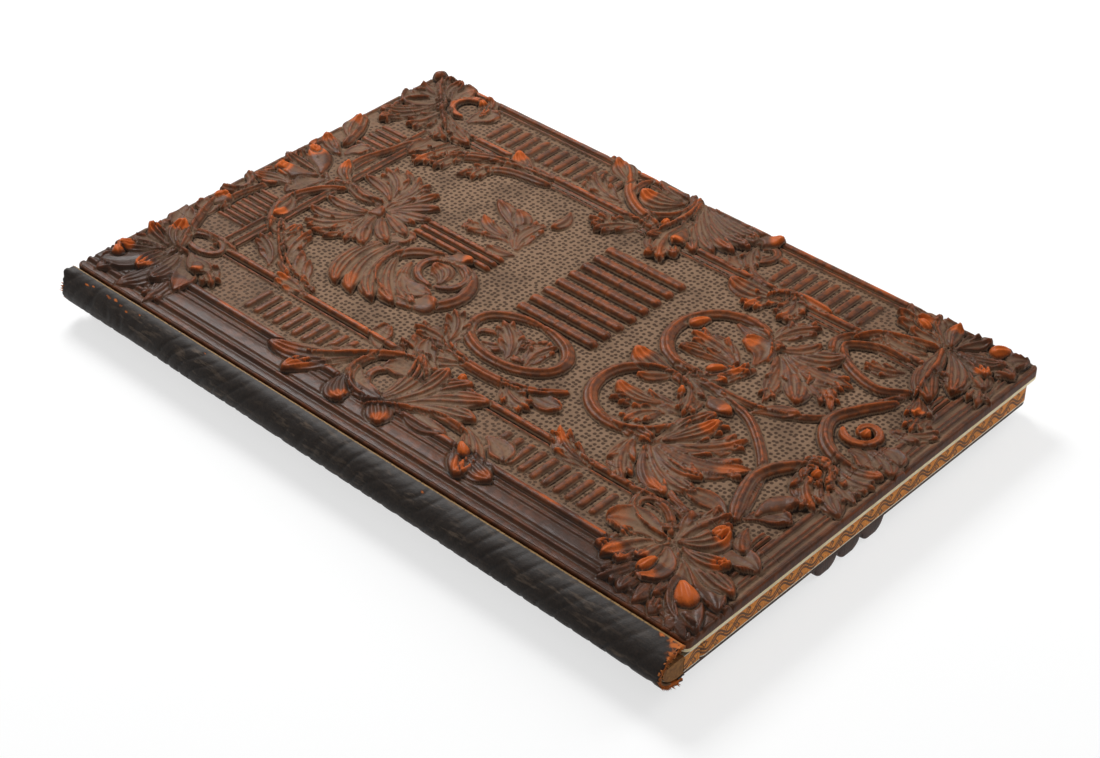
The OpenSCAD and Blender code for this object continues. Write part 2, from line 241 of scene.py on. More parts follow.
class Value:
    """A number that varies over a surface, with the usual operators."""

    def __init__(self, tree: Tree, socket: Socket) -> None:
        """Keeps the tree and the socket that gives the number."""
        self.tree = tree
        self.socket = socket

    def math(self, operation: str, *others: "Value | float", first: bool = True) -> "Value":
        """Adds a Math node.

        Args:
            operation: Name of the operation.
            others: The other operands.
            first: True if this value is the first operand.

        Returns:
            The result.
        """
        terms = [self, *others] if first else [*others, self]
        node = self.tree.node("ShaderNodeMath", {"operation": operation}, dict(enumerate(terms)))
        return Value(self.tree, node.outputs[0])

    def __add__(self, other: "Value | float") -> "Value":
        """Adds."""
        return self.math("ADD", other)

    def __sub__(self, other: "Value | float") -> "Value":
        """Subtracts."""
        return self.math("SUBTRACT", other)

    def __rsub__(self, other: float) -> "Value":
        """Subtracts from a number."""
        return self.math("SUBTRACT", other, first=False)

    def __mul__(self, other: "Value | float") -> "Value":
        """Multiplies."""
        return self.math("MULTIPLY", other)

    def __truediv__(self, other: "Value | float") -> "Value":
        """Divides."""
        return self.math("DIVIDE", other)

    __radd__ = __add__
    __rmul__ = __mul__

    def step(self, low: float, high: float) -> "Value":
        """Rises smoothly from 0 at low to 1 at high; low may be the larger."""
        ends = {1: low, 2: high} if low <= high else {1: high, 2: low, 3: 1.0, 4: 0.0}
        return Value(self.tree, self.tree.node(
            "ShaderNodeMapRange", {"interpolation_type": "SMOOTHSTEP"}, {0: self, **ends}).outputs[0])

    def over(self, other: "Value | float") -> "Value":
        """Takes the larger."""
        return self.math("MAXIMUM", other)

    def under(self, other: "Value | float") -> "Value":
        """Takes the smaller."""
        return self.math("MINIMUM", other)

    def fract(self) -> "Value":
        """Takes the part after the point."""
        return self.math("FRACT")

    def size(self) -> "Value":
        """Drops the sign."""
        return self.math("ABSOLUTE")

    def sine(self) -> "Value":
        """Takes the sine."""
        return self.math("SINE")


class Shader(Tree):
    """Builds one material from small steps, with places in millimetres."""

    def __init__(self, name: str) -> None:
        """Starts a material with a plain principled surface.

        Args:
            name: The material's name.
        """
        self.material = bpy.data.materials.new(name)
        self.material.use_nodes = True
        super().__init__(self.material.node_tree)
        self.surface = self.tree.nodes["Principled BSDF"]
        coords = self.node("ShaderNodeTexCoord", {}, {})
        scaled = self.node("ShaderNodeVectorMath", {"operation": "SCALE"},
                           {0: coords.outputs["Object"], "Scale": 1 / MM})
        self.place = scaled.outputs[0]

    def axes(self) -> tuple[Value, Value, Value]:
        """Gives x, y and z of the place."""
        node = self.node("ShaderNodeSeparateXYZ", {}, {0: self.place})
        return tuple(Value(self, out) for out in node.outputs)

    def stretched(self, scale: Place, turn: float) -> Socket:
        """Gives the place scaled along its axes and turned about z."""
        node = self.node("ShaderNodeMapping", {}, {0: self.place, "Scale": scale, "Rotation": (0, 0, turn)})
        return node.outputs[0]

    def noise(self, scale: float, detail: float = 3.0, rough: float = 0.55, at: Socket | None = None) -> Value:
        """Gives soft random values around one half, with features 1 / scale mm wide."""
        node = self.node("ShaderNodeTexNoise", {}, {
            "Vector": at or self.place, "Scale": scale, "Detail": detail, "Roughness": rough})
        return Value(self, node.outputs[0])

    def cells(self, scale: float, spread: float = 1.0) -> Value:
        """Gives the distance to the nearest of points set 1 / scale mm apart, more or less in rows."""
        node = self.node("ShaderNodeTexVoronoi", {"feature": "F1", "voronoi_dimensions": "2D"},
                         {"Vector": self.place, "Scale": scale, "Randomness": spread})
        return Value(self, node.outputs[0])

    def painted(self, name: str) -> tuple[Value, Value, Value, Value]:
        """Gives the four channels of a painted attribute.

        Args:
            name: The attribute's name.

        Returns:
            The channels.
        """
        node = self.node("ShaderNodeAttribute", {"attribute_name": name}, {})
        parts = self.node("ShaderNodeSeparateColor", {}, {0: node.outputs["Color"]})
        return (*(Value(self, out) for out in parts.outputs), Value(self, node.outputs["Alpha"]))

    def mix(self, share: Value | float, first: Any, second: Any) -> Socket:
        """Mixes two colours, from the first at 0 to the second at 1."""
        node = self.node("ShaderNodeMix", {"data_type": "RGBA"}, {0: share, 6: first, 7: second})
        return node.outputs[2]

    def bump(self, height: Value, depth: float, strength: float) -> None:
        """Roughens the surface.

        Args:
            height: The relief, from 0 to 1.
            depth: Its depth in millimetres.
            strength: Share of the effect.
        """
        made = self.node("ShaderNodeBump", {}, {"Height": height, "Distance": depth * MM, "Strength": strength})
        self.feed(self.surface.inputs["Normal"], made.outputs[0])

    def done(self, colour: Any, rough: Any, **constants: float) -> Material:
        """Sets the surface.

        Args:
            colour: Base colour.
            rough: Roughness.
            constants: Other inputs of the surface, with underscores for spaces.

        Returns:
            The material.
        """
        self.feed(self.surface.inputs["Base Color"], colour)
        self.feed(self.surface.inputs["Roughness"], rough)
        for key, value in constants.items():
            self.feed(self.surface.inputs[key.replace("_", " ").title()], value)
        return self.material


@dataclass(frozen=True)
class Finish:
    """A finish with a name; each kind says how it is made."""

    name: str

    def make(self, shader: Shader) -> Material:
        """Builds the finish on a fresh shader.

        Args:
            shader: The fresh shader.

        Returns:
            The material.
        """
        raise NotImplementedError

    def material(self) -> Material:
        """Gives the finish's material, made on first use."""
        return bpy.data.materials.get(self.name) or self.make(Shader(self.name))


@dataclass(frozen=True)
class EmbossedLeather(Finish):
    """Moulded leather, dusty in its shallow hollows and rubbed to tan on its worn crests.

    Its deepest hollows and punched pits are darkened as painted shade, and its reddish crests are partly rubbed
    leather and partly painted highlight. The attribute "finish" carries wear, hollow (one half on open ground),
    ground and darkness.
    """

    ground: str = "#836853"
    dust: str = "#7A614B"
    body: str = "#4D2B17"
    warm: str = "#713C1B"
    crest: str = "#96491F"
    bare: str = "#C05B1E"
    dark: str = "#15100C"
    pits: float = 0.46

    def make(self, shader: Shader) -> Material:
        """Layers ground, dust, crests with painted highlight, painted shade in deep hollows and pits, wear and
        grain.

        Args:
            shader: The fresh shader.

        Returns:
            The material.
        """
        wear, hollow, ground, dark = shader.painted("finish")
        mottle, patch, speck = shader.noise(0.05), shader.noise(0.35, 4), shader.noise(1.6, 3, 0.6)
        colour = shader.mix(patch.step(0.40, 0.64), self.body, self.warm)
        # reddish crests on the high points: partly rubbed leather, partly painted highlight
        high = (hollow - 0.52).step(0.0, 0.09)
        colour = shader.mix(high * patch.step(0.3, 0.65) * 0.8, colour, self.crest)
        floor = shader.mix(patch.step(0.35, 0.7) * 0.5, self.ground, self.dust)
        colour = shader.mix(ground, colour, floor)
        dusty = hollow.step(0.500, 0.465) * (speck.step(0.32, 0.62) * 0.5 + 0.4) * (1 - dark * 0.75)
        colour = shader.mix(dusty, colour, self.dust)
        # painted shade: the deepest hollows turn near black
        colour = shader.mix(hollow.step(0.45, 0.36) * 0.88, colour, "#140C08")
        colour = shader.mix(dark * (patch.step(0.2, 0.75) * 0.3 + 0.6), colour, self.dark)
        colour = shader.mix(mottle.step(0.45, 0.7) * 0.35, colour, "#24140C")
        rub = (wear * (speck.step(0.25, 0.6) * 0.4 + 0.7)).step(0.1, 0.75)
        colour = shader.mix(rub * 0.82, colour, self.bare)
        # punched pits: dents by bump, darkened with painted shade
        pit = shader.cells(self.pits, 0.5).step(0.42, 0.24) * ground.step(0.62, 0.85)
        colour = shader.mix(pit * 0.78, colour, "#2A1A11")
        shader.bump(speck * 0.25 + shader.cells(1.5) * 0.15 + (1 - pit) * 0.6, 0.35, 0.8)
        rough = 0.34 + ground * 0.3 + speck * 0.2 - dark * 0.04 + rub * 0.05
        shader.feed(shader.surface.inputs["Specular IOR Level"], 0.09)
        coat = (1 - ground) * (dark * 0.02 + 0.02)
        return shader.done(colour, rough, coat_weight=coat, coat_roughness=0.12)


@dataclass(frozen=True)
class SpineCalf(Finish):
    """Black calf with grey streaks that are partly rubbed leather and partly painted sheen, creases darkened as
    painted shade, a pale cut edge and bare orange scuffs.

    The attribute "finish" carries scuff, cut edge, crease and grey rub; the rub also places the painted sheen.
    """

    def make(self, shader: Shader) -> Material:
        """Layers black dye, grey streaks of rub and painted sheen, painted shade in the creases, the cut edge and
        scuffs.

        Args:
            shader: The fresh shader.

        Returns:
            The material.
        """
        scuff, cut, crease, rub = shader.painted("finish")
        fine = shader.noise(1.1, 4, 0.65)
        rub_and_sheen_streak = shader.noise(0.5, 4, 0.6, shader.stretched((1.0, 0.22, 1.0), 0.5))
        colour = shader.mix(fine.step(0.3, 0.7), "#16110E", "#261E19")
        # grey streaks: partly rubbed leather, partly painted sheen of glossy calf
        colour = shader.mix(rub_and_sheen_streak.step(0.5, 0.72) * (rub * 0.7 + 0.15), colour, "#5F5145")
        # painted shade: the creases are darkened
        colour = shader.mix(crease.step(0.5, 0.9) * 0.5, colour, "#0E0D0D")
        colour = shader.mix((cut * (fine + 0.4)).step(0.6, 0.95), colour, "#86683F")
        colour = shader.mix((scuff * (fine + 0.5)).step(0.3, 0.7), colour, "#B8632B")
        shader.bump(fine * 0.5 + shader.cells(1.8) * 0.5, 0.12, 0.5)
        rough = 0.42 + fine * 0.2 + scuff * 0.3
        shader.feed(shader.surface.inputs["Specular IOR Level"], 0.14)
        return shader.done(colour, rough)


@dataclass(frozen=True)
class Grained(Finish):
    """A plain mottled stuff with a fine grain, such as board, paper or suede."""

    first: str
    second: str
    stain: str
    scale: float
    roughness: float
    depth: float
    stained: float

    def make(self, shader: Shader) -> Material:
        """Mottles two tones, adds stains and a fibre grain.

        Args:
            shader: The fresh shader.

        Returns:
            The material.
        """
        patch, fibre, cloud = (shader.noise(*way) for way in ((self.scale, 4), (2.4, 3, 0.7), (0.045, 2)))
        colour = shader.mix(patch.step(0.35, 0.65), self.first, self.second)
        colour = shader.mix(cloud.step(0.5, 0.72) * self.stained, colour, self.stain)
        colour = shader.mix(fibre.step(0.58, 0.75) * self.stained * 0.6, colour, self.stain)
        shader.bump(fibre, self.depth, 0.6)
        return shader.done(colour, self.roughness - 0.06 + patch * 0.12)


@dataclass(frozen=True)
class Linen(Finish):
    """Woven linen tape or gauze."""

    thread: str
    shade: str
    pitch: float

    def make(self, shader: Shader) -> Material:
        """Crosses two sets of threads.

        Args:
            shader: The fresh shader.

        Returns:
            The material.
        """
        x, y, z = shader.axes()
        turn = 2 * math.pi / self.pitch
        warp = ((x + z * 0.7) * turn).sine() * 0.5 + 0.5
        weft = (y * turn).sine() * 0.5 + 0.5
        weave = warp.over(weft)
        colour = shader.mix(weave.step(0.25, 0.9), self.shade, self.thread)
        colour = shader.mix(shader.noise(0.08).step(0.45, 0.75) * 0.35, colour, "#6B5B44")
        shader.bump(weave, 0.12, 0.8)
        return shader.done(colour, 0.85 + weave * 0.05)


@dataclass(frozen=True)
class AlbumPage(Finish):
    """Ivory card with fine ruled spaces for stamps."""

    across: float = 33.0
    down: float = 38.0
    apart: float = 3.2

    def make(self, shader: Shader) -> Material:
        """Rules a border and rows of empty spaces on toned card.

        Args:
            shader: The fresh shader.

        Returns:
            The material.
        """
        low, high = span("leaf_1")
        from_edge, from_space = [], []
        for k, (along, pitch) in enumerate(zip(shader.axes(), (self.across, self.down))):
            place = along - (low[k] + high[k]) / 2
            from_edge.append((high[k] - low[k]) / 2 - place.size())
            cell = (place / pitch + 0.5).fract() * pitch - pitch / 2
            from_space.append(cell.size() - (pitch / 2 - self.apart))
        edge, away = from_edge[0].under(from_edge[1]), from_space[0].over(from_space[1])
        border = (edge - 9.0).size().step(0.22, 0.12).over((edge - 10.4).size().step(0.16, 0.08))
        spaces = away.size().step(0.16, 0.08) * edge.step(13.5, 14.5)
        fibre, cloud = shader.noise(1.9, 3, 0.65), shader.noise(0.03, 3)
        colour = shader.mix(fibre.step(0.35, 0.7), "#E6DBC0", "#DCCFB0")
        colour = shader.mix(edge.step(16.0, 0.0) * 0.35, colour, "#B99A66")
        colour = shader.mix(cloud.step(0.5, 0.75) * 0.25, colour, "#C3A676")
        colour = shader.mix(border.over(spaces) * 0.75, colour, "#5C6E63")
        shader.bump(fibre, 0.04, 0.5)
        return shader.done(colour, 0.72 + fibre * 0.1)


@dataclass(frozen=True)
class PaintedEdge(Finish):
    """Edges of the leaves, stained orange brown and tooled with a running leaf and ribbon."""

    repeat: float = 11.4

    def make(self, shader: Shader) -> Material:
        """Runs a ribbon with leaves along the edge of the whole block.

        Args:
            shader: The fresh shader.

        Returns:
            The material.
        """
        x, y, z = shader.axes()
        low, high = float(span("leaf_8")[0][2]), float(span("leaf_1")[1][2])
        band = (z - low) / (high - low)
        run = (x + y) / self.repeat
        wave = (run * (2 * math.pi)).sine() * 0.30 + 0.5
        ribbon = ((band - wave).size() - 0.12).size().step(0.11, 0.06)
        leaf_run = (run * 2.0 + 0.25).fract() - 0.5
        blade = (leaf_run * 1.15).size() + ((band - 1.0) + wave).size() * 1.15 - 0.27
        leaves = blade.size().step(0.11, 0.05)
        veins = ((run * 14.0 + band * 3.0).fract() - 0.5).size().step(0.18, 0.1) * blade.step(0.02, -0.06)
        speck = shader.cells(1.7).step(0.22, 0.05) * shader.noise(0.5).step(0.42, 0.6)
        lines = ribbon.over(leaves).over(veins).over(speck * 0.8)
        rough = shader.noise(1.3, 4, 0.7)
        colour = shader.mix(rough.step(0.3, 0.7), "#BC6A1C", "#EA983A")
        colour = shader.mix(lines * (rough.step(0.25, 0.55) * 0.4 + 0.6), colour, "#53300F")
        colour = shader.mix(shader.noise(0.25, 2).step(0.5, 0.75) * 0.35, colour, "#5B3A1C")
        shader.bump(rough * 0.6 + (1 - lines) * 0.4, 0.16, 0.7)
        return shader.done(colour, 0.62 + rough * 0.15)


@dataclass(frozen=True)
class PaleFloor(Finish):
    """A white studio floor that keeps a soft shadow."""

    def make(self, shader: Shader) -> Material:
        """Mixes plain white paint with a little light of its own, for what is seen directly.

        Args:
            shader: The fresh shader.

        Returns:
            The material.
        """
        shader.done("#F2F3F3", 0.9)
        glow = shader.node("ShaderNodeEmission", {}, {"Color": (1.0, 1.0, 1.0, 1.0), "Strength": 1.08})
        both = shader.node("ShaderNodeMixShader", {}, {
            0: shader.seen_rays() * 0.62, 1: shader.surface.outputs[0], 2: glow.outputs[0]})
        shader.feed(shader.tree.nodes["Material Output"].inputs["Surface"], both.outputs[0])
        return shader.material


FRONT_LEATHER = EmbossedLeather("embossed_front_leather")
BACK_LEATHER = EmbossedLeather("embossed_back_leather", ground="#5E4636", dust="#5A4636", body="#402419",
                               warm="#5E3622", crest="#7E472D", bare="#A45A33")
SPINE_CALF = SpineCalf("spine_calf")
JOINT_CALF = Grained("joint_calf", "#1D1918", "#2C2421", "#5A4A3A", 0.5, 0.5, 0.08, 0.25)
GREYBOARD = Grained("grey_board", "#8F8674", "#7C735F", "#5B5140", 0.6, 0.9, 0.10, 0.4)
CREAM_CARD = Grained("cream_lining_card", "#F5E6C2", "#EAD6A8", "#B08F5C", 0.3, 0.75, 0.05, 0.3)
ENDPAPER = Grained("ivory_endpaper", "#EDE6D2", "#E2D8BE", "#C0A271", 0.15, 0.7, 0.03, 0.35)
FLYLEAF = Grained("flyleaf_paper", "#EFE8D6", "#E8DEC6", "#BFA274", 0.2, 0.75, 0.03, 0.3)
SUEDE = Grained("torn_suede", "#C2702E", "#96501F", "#4A2B16", 0.9, 0.95, 0.25, 0.6)
BACK_BEAD = Grained("medallion_leather", "#3A251C", "#4E3020", "#241712", 0.35, 0.42, 0.08, 0.5)
TEETH = Grained("tooled_teeth", "#8D7D63", "#6F5D48", "#3E2F25", 0.8, 0.6, 0.05, 0.3)
LINER_CARD = Grained("spine_liner_card", "#6A4A2A", "#553A20", "#2E1F12", 0.5, 0.88, 0.1, 0.45)
# stub paper in dark orange brown: partly its own tone, partly painted shade for the inside of the hollow spine's
# end
STUB_PAPER = Grained("stub_paper", "#8A5F2E", "#6A4320", "#33200F", 0.8, 0.9, 0.12, 0.5)
THREAD = Grained("linen_thread", "#CDBF9E", "#B2A27F", "#7C6B4A", 1.5, 0.8, 0.1, 0.3)
TAPE_LINEN = Linen("tape_linen", "#C2B79C", "#857B64", 0.5)
GUARD_LINEN = Linen("guard_linen", "#CFC6B0", "#9C927A", 0.4)
MULL_GAUZE = Linen("mull_gauze", "#BDB296", "#6F664F", 1.1)
PAGE = AlbumPage("ruled_album_card")
EDGE = PaintedEdge("painted_leaf_edge")
FLOOR = PaleFloor("studio_floor")


# ---------------- pieces


@dataclass(frozen=True)
class Fit:
    """The body that a piece moves with, its material slot and the solids that it stands for."""

    body: str
    slot: str
    nodes: tuple[str, ...] = ()


@dataclass
class Shape:
    """Rows of u, v and z in millimetres, groups of faces and four painted values for each point.

    A group has corners, a finish number, and True if it is smooth.
    """

    points: Array
    faces: list[tuple[Array, int, bool]]
    paint: Array | None = None

    def piece(self, name: str, finishes: Iterable[Finish]) -> Piece:
        """Makes a mesh object in the album's frame.

        Args:
            name: The piece's name.
            finishes: Its finishes, in the order of the faces' finish numbers.

        Returns:
            The object, at the origin.
        """
        mesh = bpy.data.meshes.new(name)
        places = (self.points + np.array([*SIZES.origin, 0.0])) * MM
        corners = np.concatenate([c.ravel() for c, _, _ in self.faces])
        sizes, finish, smooth = (np.concatenate(each) for each in zip(*(
            [np.full(len(c), value) for value in (c.shape[1], number, soft)] for c, number, soft in self.faces)))
        starts = np.concatenate([[0], np.cumsum(sizes)[:-1]])
        mesh.vertices.add(len(places))
        mesh.vertices.foreach_set("co", places.astype(np.float32).ravel())
        mesh.loops.add(len(corners))
        mesh.loops.foreach_set("vertex_index", corners.astype(np.int32))
        mesh.polygons.add(len(sizes))
        mesh.polygons.foreach_set("loop_start", starts.astype(np.int32))
        mesh.polygons.foreach_set("material_index", finish.astype(np.int32))
        mesh.polygons.foreach_set("use_smooth", smooth)
        mesh.update(calc_edges=True)
        if self.paint is not None:
            layer = mesh.attributes.new("finish", "FLOAT_COLOR", "POINT")
            layer.data.foreach_set("color", np.clip(self.paint, 0, 1).astype(np.float32).ravel())
        for finish in finishes:
            mesh.materials.append(finish.material())
        return stand(mesh)


def stand(mesh: bpy.types.Mesh) -> Piece:
    """Stands a mesh at the origin, as an object of the same name.

    Args:
        mesh: The mesh.

    Returns:
        The object.
    """
    made = bpy.data.objects.new(mesh.name, mesh)
    bpy.context.scene.collection.objects.link(made)
    return made


def fit_piece(made: Piece, fit: Fit) -> None:
    """Rides a piece on its body, hides the solids that it stands for and reports it."""
    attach(made, fit.body)
    name_piece(made, fit)


def bend_piece(made: Piece, fit: Fit, to: str, start: float, end: float, z: float) -> None:
    """Bakes a piece's place into its mesh, hides the solids that it stands for and reports it; nothing bends it
    or ties it to a body.

    Args:
        made: The piece.
        fit: Its first body, slot and solids.
        to: Name of a body; not used.
        start: Where the bend starts, as u in millimetres.
        end: Where it ends.
        z: Height of the bend.
    """
    SIZES.metres(start, 0.0, z)
    SIZES.metres(end, 0.0, z)
    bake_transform(made)
    name_piece(made, fit)


def name_piece(made: Piece, fit: Fit) -> None:
    """Hides the solids that a piece stands for, and reports it.

    Args:
        made: The piece.
        fit: Its body, slot and solids.
    """
    if fit.nodes:
        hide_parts(*fit.nodes)
    log.info("%s: %d faces, on %s", made.name, len(made.data.polygons), fit.body)


def redress(node: str, finish: Finish) -> None:
    """Gives a solid that stays its finish.

    Args:
        node: The solid.
        finish: Its finish.
    """
    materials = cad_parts[node].data.materials
    materials.clear()
    materials.append(finish.material())


def round_corners(u: Array, v: Array, low: Point, high: Point, radius: float) -> tuple[Array, Array]:
    """Pulls the corner squares of a rectangle's grid onto round corners.

    Args:
        u: Places along the width.
        v: Places along the height.
        low: The rectangle's low corner.
        high: Its high corner.
        radius: Radius of the corners.

    Returns:
        The moved places.
    """
    cu = np.clip(u, low[0] + radius, high[0] - radius)
    cv = np.clip(v, low[1] + radius, high[1] - radius)
    a, b = u - cu, v - cv
    far = np.maximum(np.hypot(a, b), 1e-9)
    k = np.where((a != 0) & (b != 0), np.maximum(np.abs(a), np.abs(b)) / far, 1.0)
    return cu + a * k, cv + b * k


def card_shape(low: Array, high: Array, radius: float, edge: float) -> Shape:
    """Makes a flat card with round corners and eased edges.

    Args:
        low: Low corner as u, v and z.
        high: High corner.
        radius: Radius of the corners.
        edge: Radius of the eased edges, under half the thickness.

    Returns:
        The card, with finish 0 on its faces and 1 on its edges.
    """
    turn = np.radians(np.linspace(0, 90, CORNER_POINTS))
    angles = (np.arange(4)[:, None] * math.pi / 2 + turn).ravel()
    ways = np.column_stack([np.cos(angles), np.sin(angles)])
    side = np.repeat([(1, 1), (-1, 1), (-1, -1), (1, -1)], CORNER_POINTS, axis=0)
    rim = np.where(side > 0, high[:2] - radius, low[:2] + radius) + ways * radius
    count = len(rim)
    rows = [(-edge, low[2]), (-0.3 * edge, low[2] + 0.3 * edge), (0.0, low[2] + edge),
            (0.0, high[2] - edge), (-0.3 * edge, high[2] - 0.3 * edge), (-edge, high[2])]
    points = np.vstack([np.column_stack([rim + ways * d, np.full(count, z)]) for d, z in rows])
    ring = np.arange(count)
    after = (ring + 1) % count
    sides = np.vstack([np.column_stack([ring + k * count, after + k * count,
                                        after + (k + 1) * count, ring + (k + 1) * count])
                       for k in range(len(rows) - 1)])
    top = (ring + (len(rows) - 1) * count)[None, :]
    return Shape(points, [(sides, 1, False), (top, 0, False), (ring[::-1][None, :], 0, False)])


class PieceTree(Tree):
    """A Geometry Nodes tree that makes a piece."""

    def __init__(self, name: str, inputs: dict[str, tuple[str, Any]]) -> None:
        """Starts a tree with named inputs.

        Args:
            name: The tree's name.
            inputs: Type and value of each input.
        """
        super().__init__(bpy.data.node_groups.new(name, "GeometryNodeTree"))
        face = self.tree.interface
        face.new_socket("Geometry", in_out="INPUT", socket_type="NodeSocketGeometry")
        self.values = {}
        for key, (kind, value) in inputs.items():
            made = face.new_socket(key, in_out="INPUT", socket_type=kind)
            self.values[made.identifier] = value
        face.new_socket("Geometry", in_out="OUTPUT", socket_type="NodeSocketGeometry")
        self.start = self.tree.nodes.new("NodeGroupInput")
        self.end = self.tree.nodes.new("NodeGroupOutput")

    def close(self, geometry: Socket) -> None:
        """Ends the tree with real meshes and their finish.

        Args:
            geometry: The instances.
        """
        real = self.node("GeometryNodeRealizeInstances", {}, {0: geometry})
        dressed = self.node("GeometryNodeSetMaterial", {}, {
            0: real.outputs[0], "Material": self.start.outputs["Finish"]})
        self.feed(self.end.inputs[0], dressed.outputs[0])

    def run(self, name: str, source: Piece) -> Piece:
        """Turns the tree's result on a source into a plain mesh.

        Args:
            name: Name of the piece.
            source: The object that the tree starts from; it is removed.

        Returns:
            The piece.
        """
        modifier = source.modifiers.new("tree", "NODES")
        modifier.node_group = self.tree
        for key, value in self.values.items():
            modifier[key] = value
        graph = bpy.context.evaluated_depsgraph_get()
        mesh = bpy.data.meshes.new_from_object(source.evaluated_get(graph))
        source.modifiers.remove(modifier)
        bpy.data.objects.remove(source)
        mesh.name = name
        return stand(mesh)


def row_along(name: str, path: Array, closed: bool, pitch: float, size: Place, finish: Finish) -> Piece:
    """Sets small rounded studs along a path.

    Args:
        name: Name of the piece.
        path: Points of the path as u, v and z.
        closed: True if the path ends where it starts.
        pitch: Distance between studs in millimetres.
        size: Half sizes of a stud along the path, across it and upward.
        finish: Its finish.

    Returns:
        The piece.
    """
    tree = PieceTree(name + "_tree", {
        "Pitch": ("NodeSocketFloat", pitch * MM), "Size": ("NodeSocketVector", tuple(s * MM for s in size)),
        "Finish": ("NodeSocketMaterial", finish.material())})
    given = tree.start.outputs
    curve = tree.node("GeometryNodeMeshToCurve", {}, {0: given["Geometry"]})
    even = tree.node("GeometryNodeResampleCurve", {"mode": "LENGTH"},
                     {"Curve": curve.outputs[0], "Length": given["Pitch"]})
    stud = tree.node("GeometryNodeMeshUVSphere", {}, {"Segments": 8, "Rings": 5, "Radius": 1.0})
    smooth = tree.node("GeometryNodeSetShadeSmooth", {}, {0: stud.outputs[0]})
    way = tree.node("GeometryNodeInputTangent", {}, {})
    turned = tree.node("FunctionNodeAlignRotationToVector", {"axis": "X"}, {"Vector": way.outputs[0]})
    placed = tree.node("GeometryNodeInstanceOnPoints", {}, {
        "Points": even.outputs[0], "Instance": smooth.outputs[0],
        "Rotation": turned.outputs[0], "Scale": given["Size"]})
    tree.close(placed.outputs[0])
    mesh = bpy.data.meshes.new(name + "_path")
    count = len(path)
    edges = [(k, (k + 1) % count) for k in range(count if closed else count - 1)]
    mesh.from_pydata(((path + np.array([*SIZES.origin, 0.0])) * MM).tolist(), [], [])
    mesh.edges.add(len(edges))
    mesh.edges.foreach_set("vertices", np.array(edges, np.int32).ravel())
    return tree.run(name, stand(mesh))


# ---------------- embossing


class Crown(Enum):
    """The cross-section of a leaf."""

    ROUND = "round"
    CUPPED = "cupped"
    RIBBED = "ribbed"


C, R, B = Crown.CUPPED, Crown.RIBBED, Crown.ROUND


def bowed(base: Point, tip: Point, bow: float) -> Array:
    """Runs a bowed line from base to tip, its middle moved left by bow.

    Args:
        base: Where it starts.
        tip: Where it ends.
        bow: How far its middle moves.

    Returns:
        Its points.
    """
    t = np.linspace(0.0, 1.0, LINE_POINTS)[:, None]
    a, b = np.array(base, float), np.array(tip, float)
    along = b - a
    left = np.array([-along[1], along[0]]) / max(float(np.hypot(*along)), SHORT)
    middle = (a + b) / 2 + left * bow * 2
    return (1 - t) ** 2 * a + 2 * t * (1 - t) * middle + t ** 2 * b


def through(points: Iterable[float]) -> Array:
    """Runs a smooth line through points, given as u, v, u, v and so on.

    Args:
        points: The given points.

    Returns:
        Points of the line.
    """
    p = np.array(points, float).reshape(-1, 2)
    p = np.vstack([2 * p[0] - p[1], p, 2 * p[-1] - p[-2]])
    t = np.linspace(0.0, 1.0, 8, endpoint=False)[:, None]
    rows = [0.5 * (2 * b + (c - a) * t + (2 * a - 5 * b + 4 * c - d) * t ** 2 + (3 * b - a - 3 * c + d) * t ** 3)
            for a, b, c, d in zip(p[:-3], p[1:-2], p[2:-1], p[3:])]
    return np.vstack(rows + [p[-2:-1]])


def winding(u: float, v: float, wide: float, tall: float, first: float, last: float, left: float = 1.0) -> Array:
    """Runs an arc or a closing spiral.

    Args:
        u: Its middle, along u.
        v: Its middle, along v.
        wide: Its radius along u.
        tall: Its radius along v.
        first: First angle in degrees.
        last: Last angle.
        left: Share of the radii left at the end.

    Returns:
        Points of the line.
    """
    count = max(10, int(abs(last - first) / 10))
    a = np.radians(np.linspace(first, last, count))
    k = np.linspace(1.0, left, count)
    return np.column_stack([u + wide * k * np.cos(a), v + tall * k * np.sin(a)])


@dataclass(frozen=True)
class Leaf:
    """A leaf from base to tip, with its bow, width, height over the rim and wear."""

    base: Point
    tip: Point
    bow: float
    width: float
    height: float
    crown: Crown = Crown.RIBBED
    wear: float = 0.0
    lobes: int = 0

    def fingers(self) -> list["Leaf"]:
        """Splits a lobed leaf into a base, pairs of fingers that curl outward, and a middle one on top.

        Returns:
            The parts, lowest first.
        """
        line = bowed(self.base, self.tip, self.bow)
        last = len(line) - 1
        length = float(np.hypot(*(line[-1] - line[0])))
        ways = np.gradient(line, axis=0)
        ways = ways / np.hypot(*ways.T)[:, None]
        sides = np.column_stack([-ways[:, 1], ways[:, 0]])
        made = [Leaf(self.base, tuple(line[round(last * 0.86)]), self.bow * 0.8, self.width, self.height * 0.62)]
        for k in range(self.lobes):
            share = k / max(self.lobes - 1, 1)
            start, end = round(last * 0.22 * share), round(last * (0.50 + 0.30 * share))
            for side in (-1, 1):
                base = line[start] + sides[start] * side * self.width * 0.06
                reach = 0.66 - 0.16 * share
                tip = line[end] + sides[end] * side * self.width * reach + ways[end] * 0.08 * length
                made.append(Leaf(tuple(base), tuple(tip), -side * 0.10 * length, self.width * 0.54,
                                 self.height * (0.78 + 0.12 * share), R, self.wear * 0.8))
        made.append(Leaf(tuple(line[1]), self.tip, self.bow * 0.9, self.width * 0.50, self.height,
                         self.crown, self.wear))
        return made


@dataclass(frozen=True)
class Stem:
    """A stem or scroll along a line."""

    path: Array
    width: float
    height: float
    ribs: int = 2
    wear: float = 0.0


@dataclass(frozen=True)
class Bulb:
    """A rounded boss, narrower at one end by its taper and folded where it tapers."""

    centre: Point
    long: float
    wide: float
    angle: float
    height: float
    wear: float = 1.0
    taper: float = 0.5


@dataclass(frozen=True)
class Bars:
    """A panel of parallel reeds; upright ones run from the tail to the head."""

    first: Point
    last: Point
    count: int
    upright: bool
    height: float
    share: float = 0.55


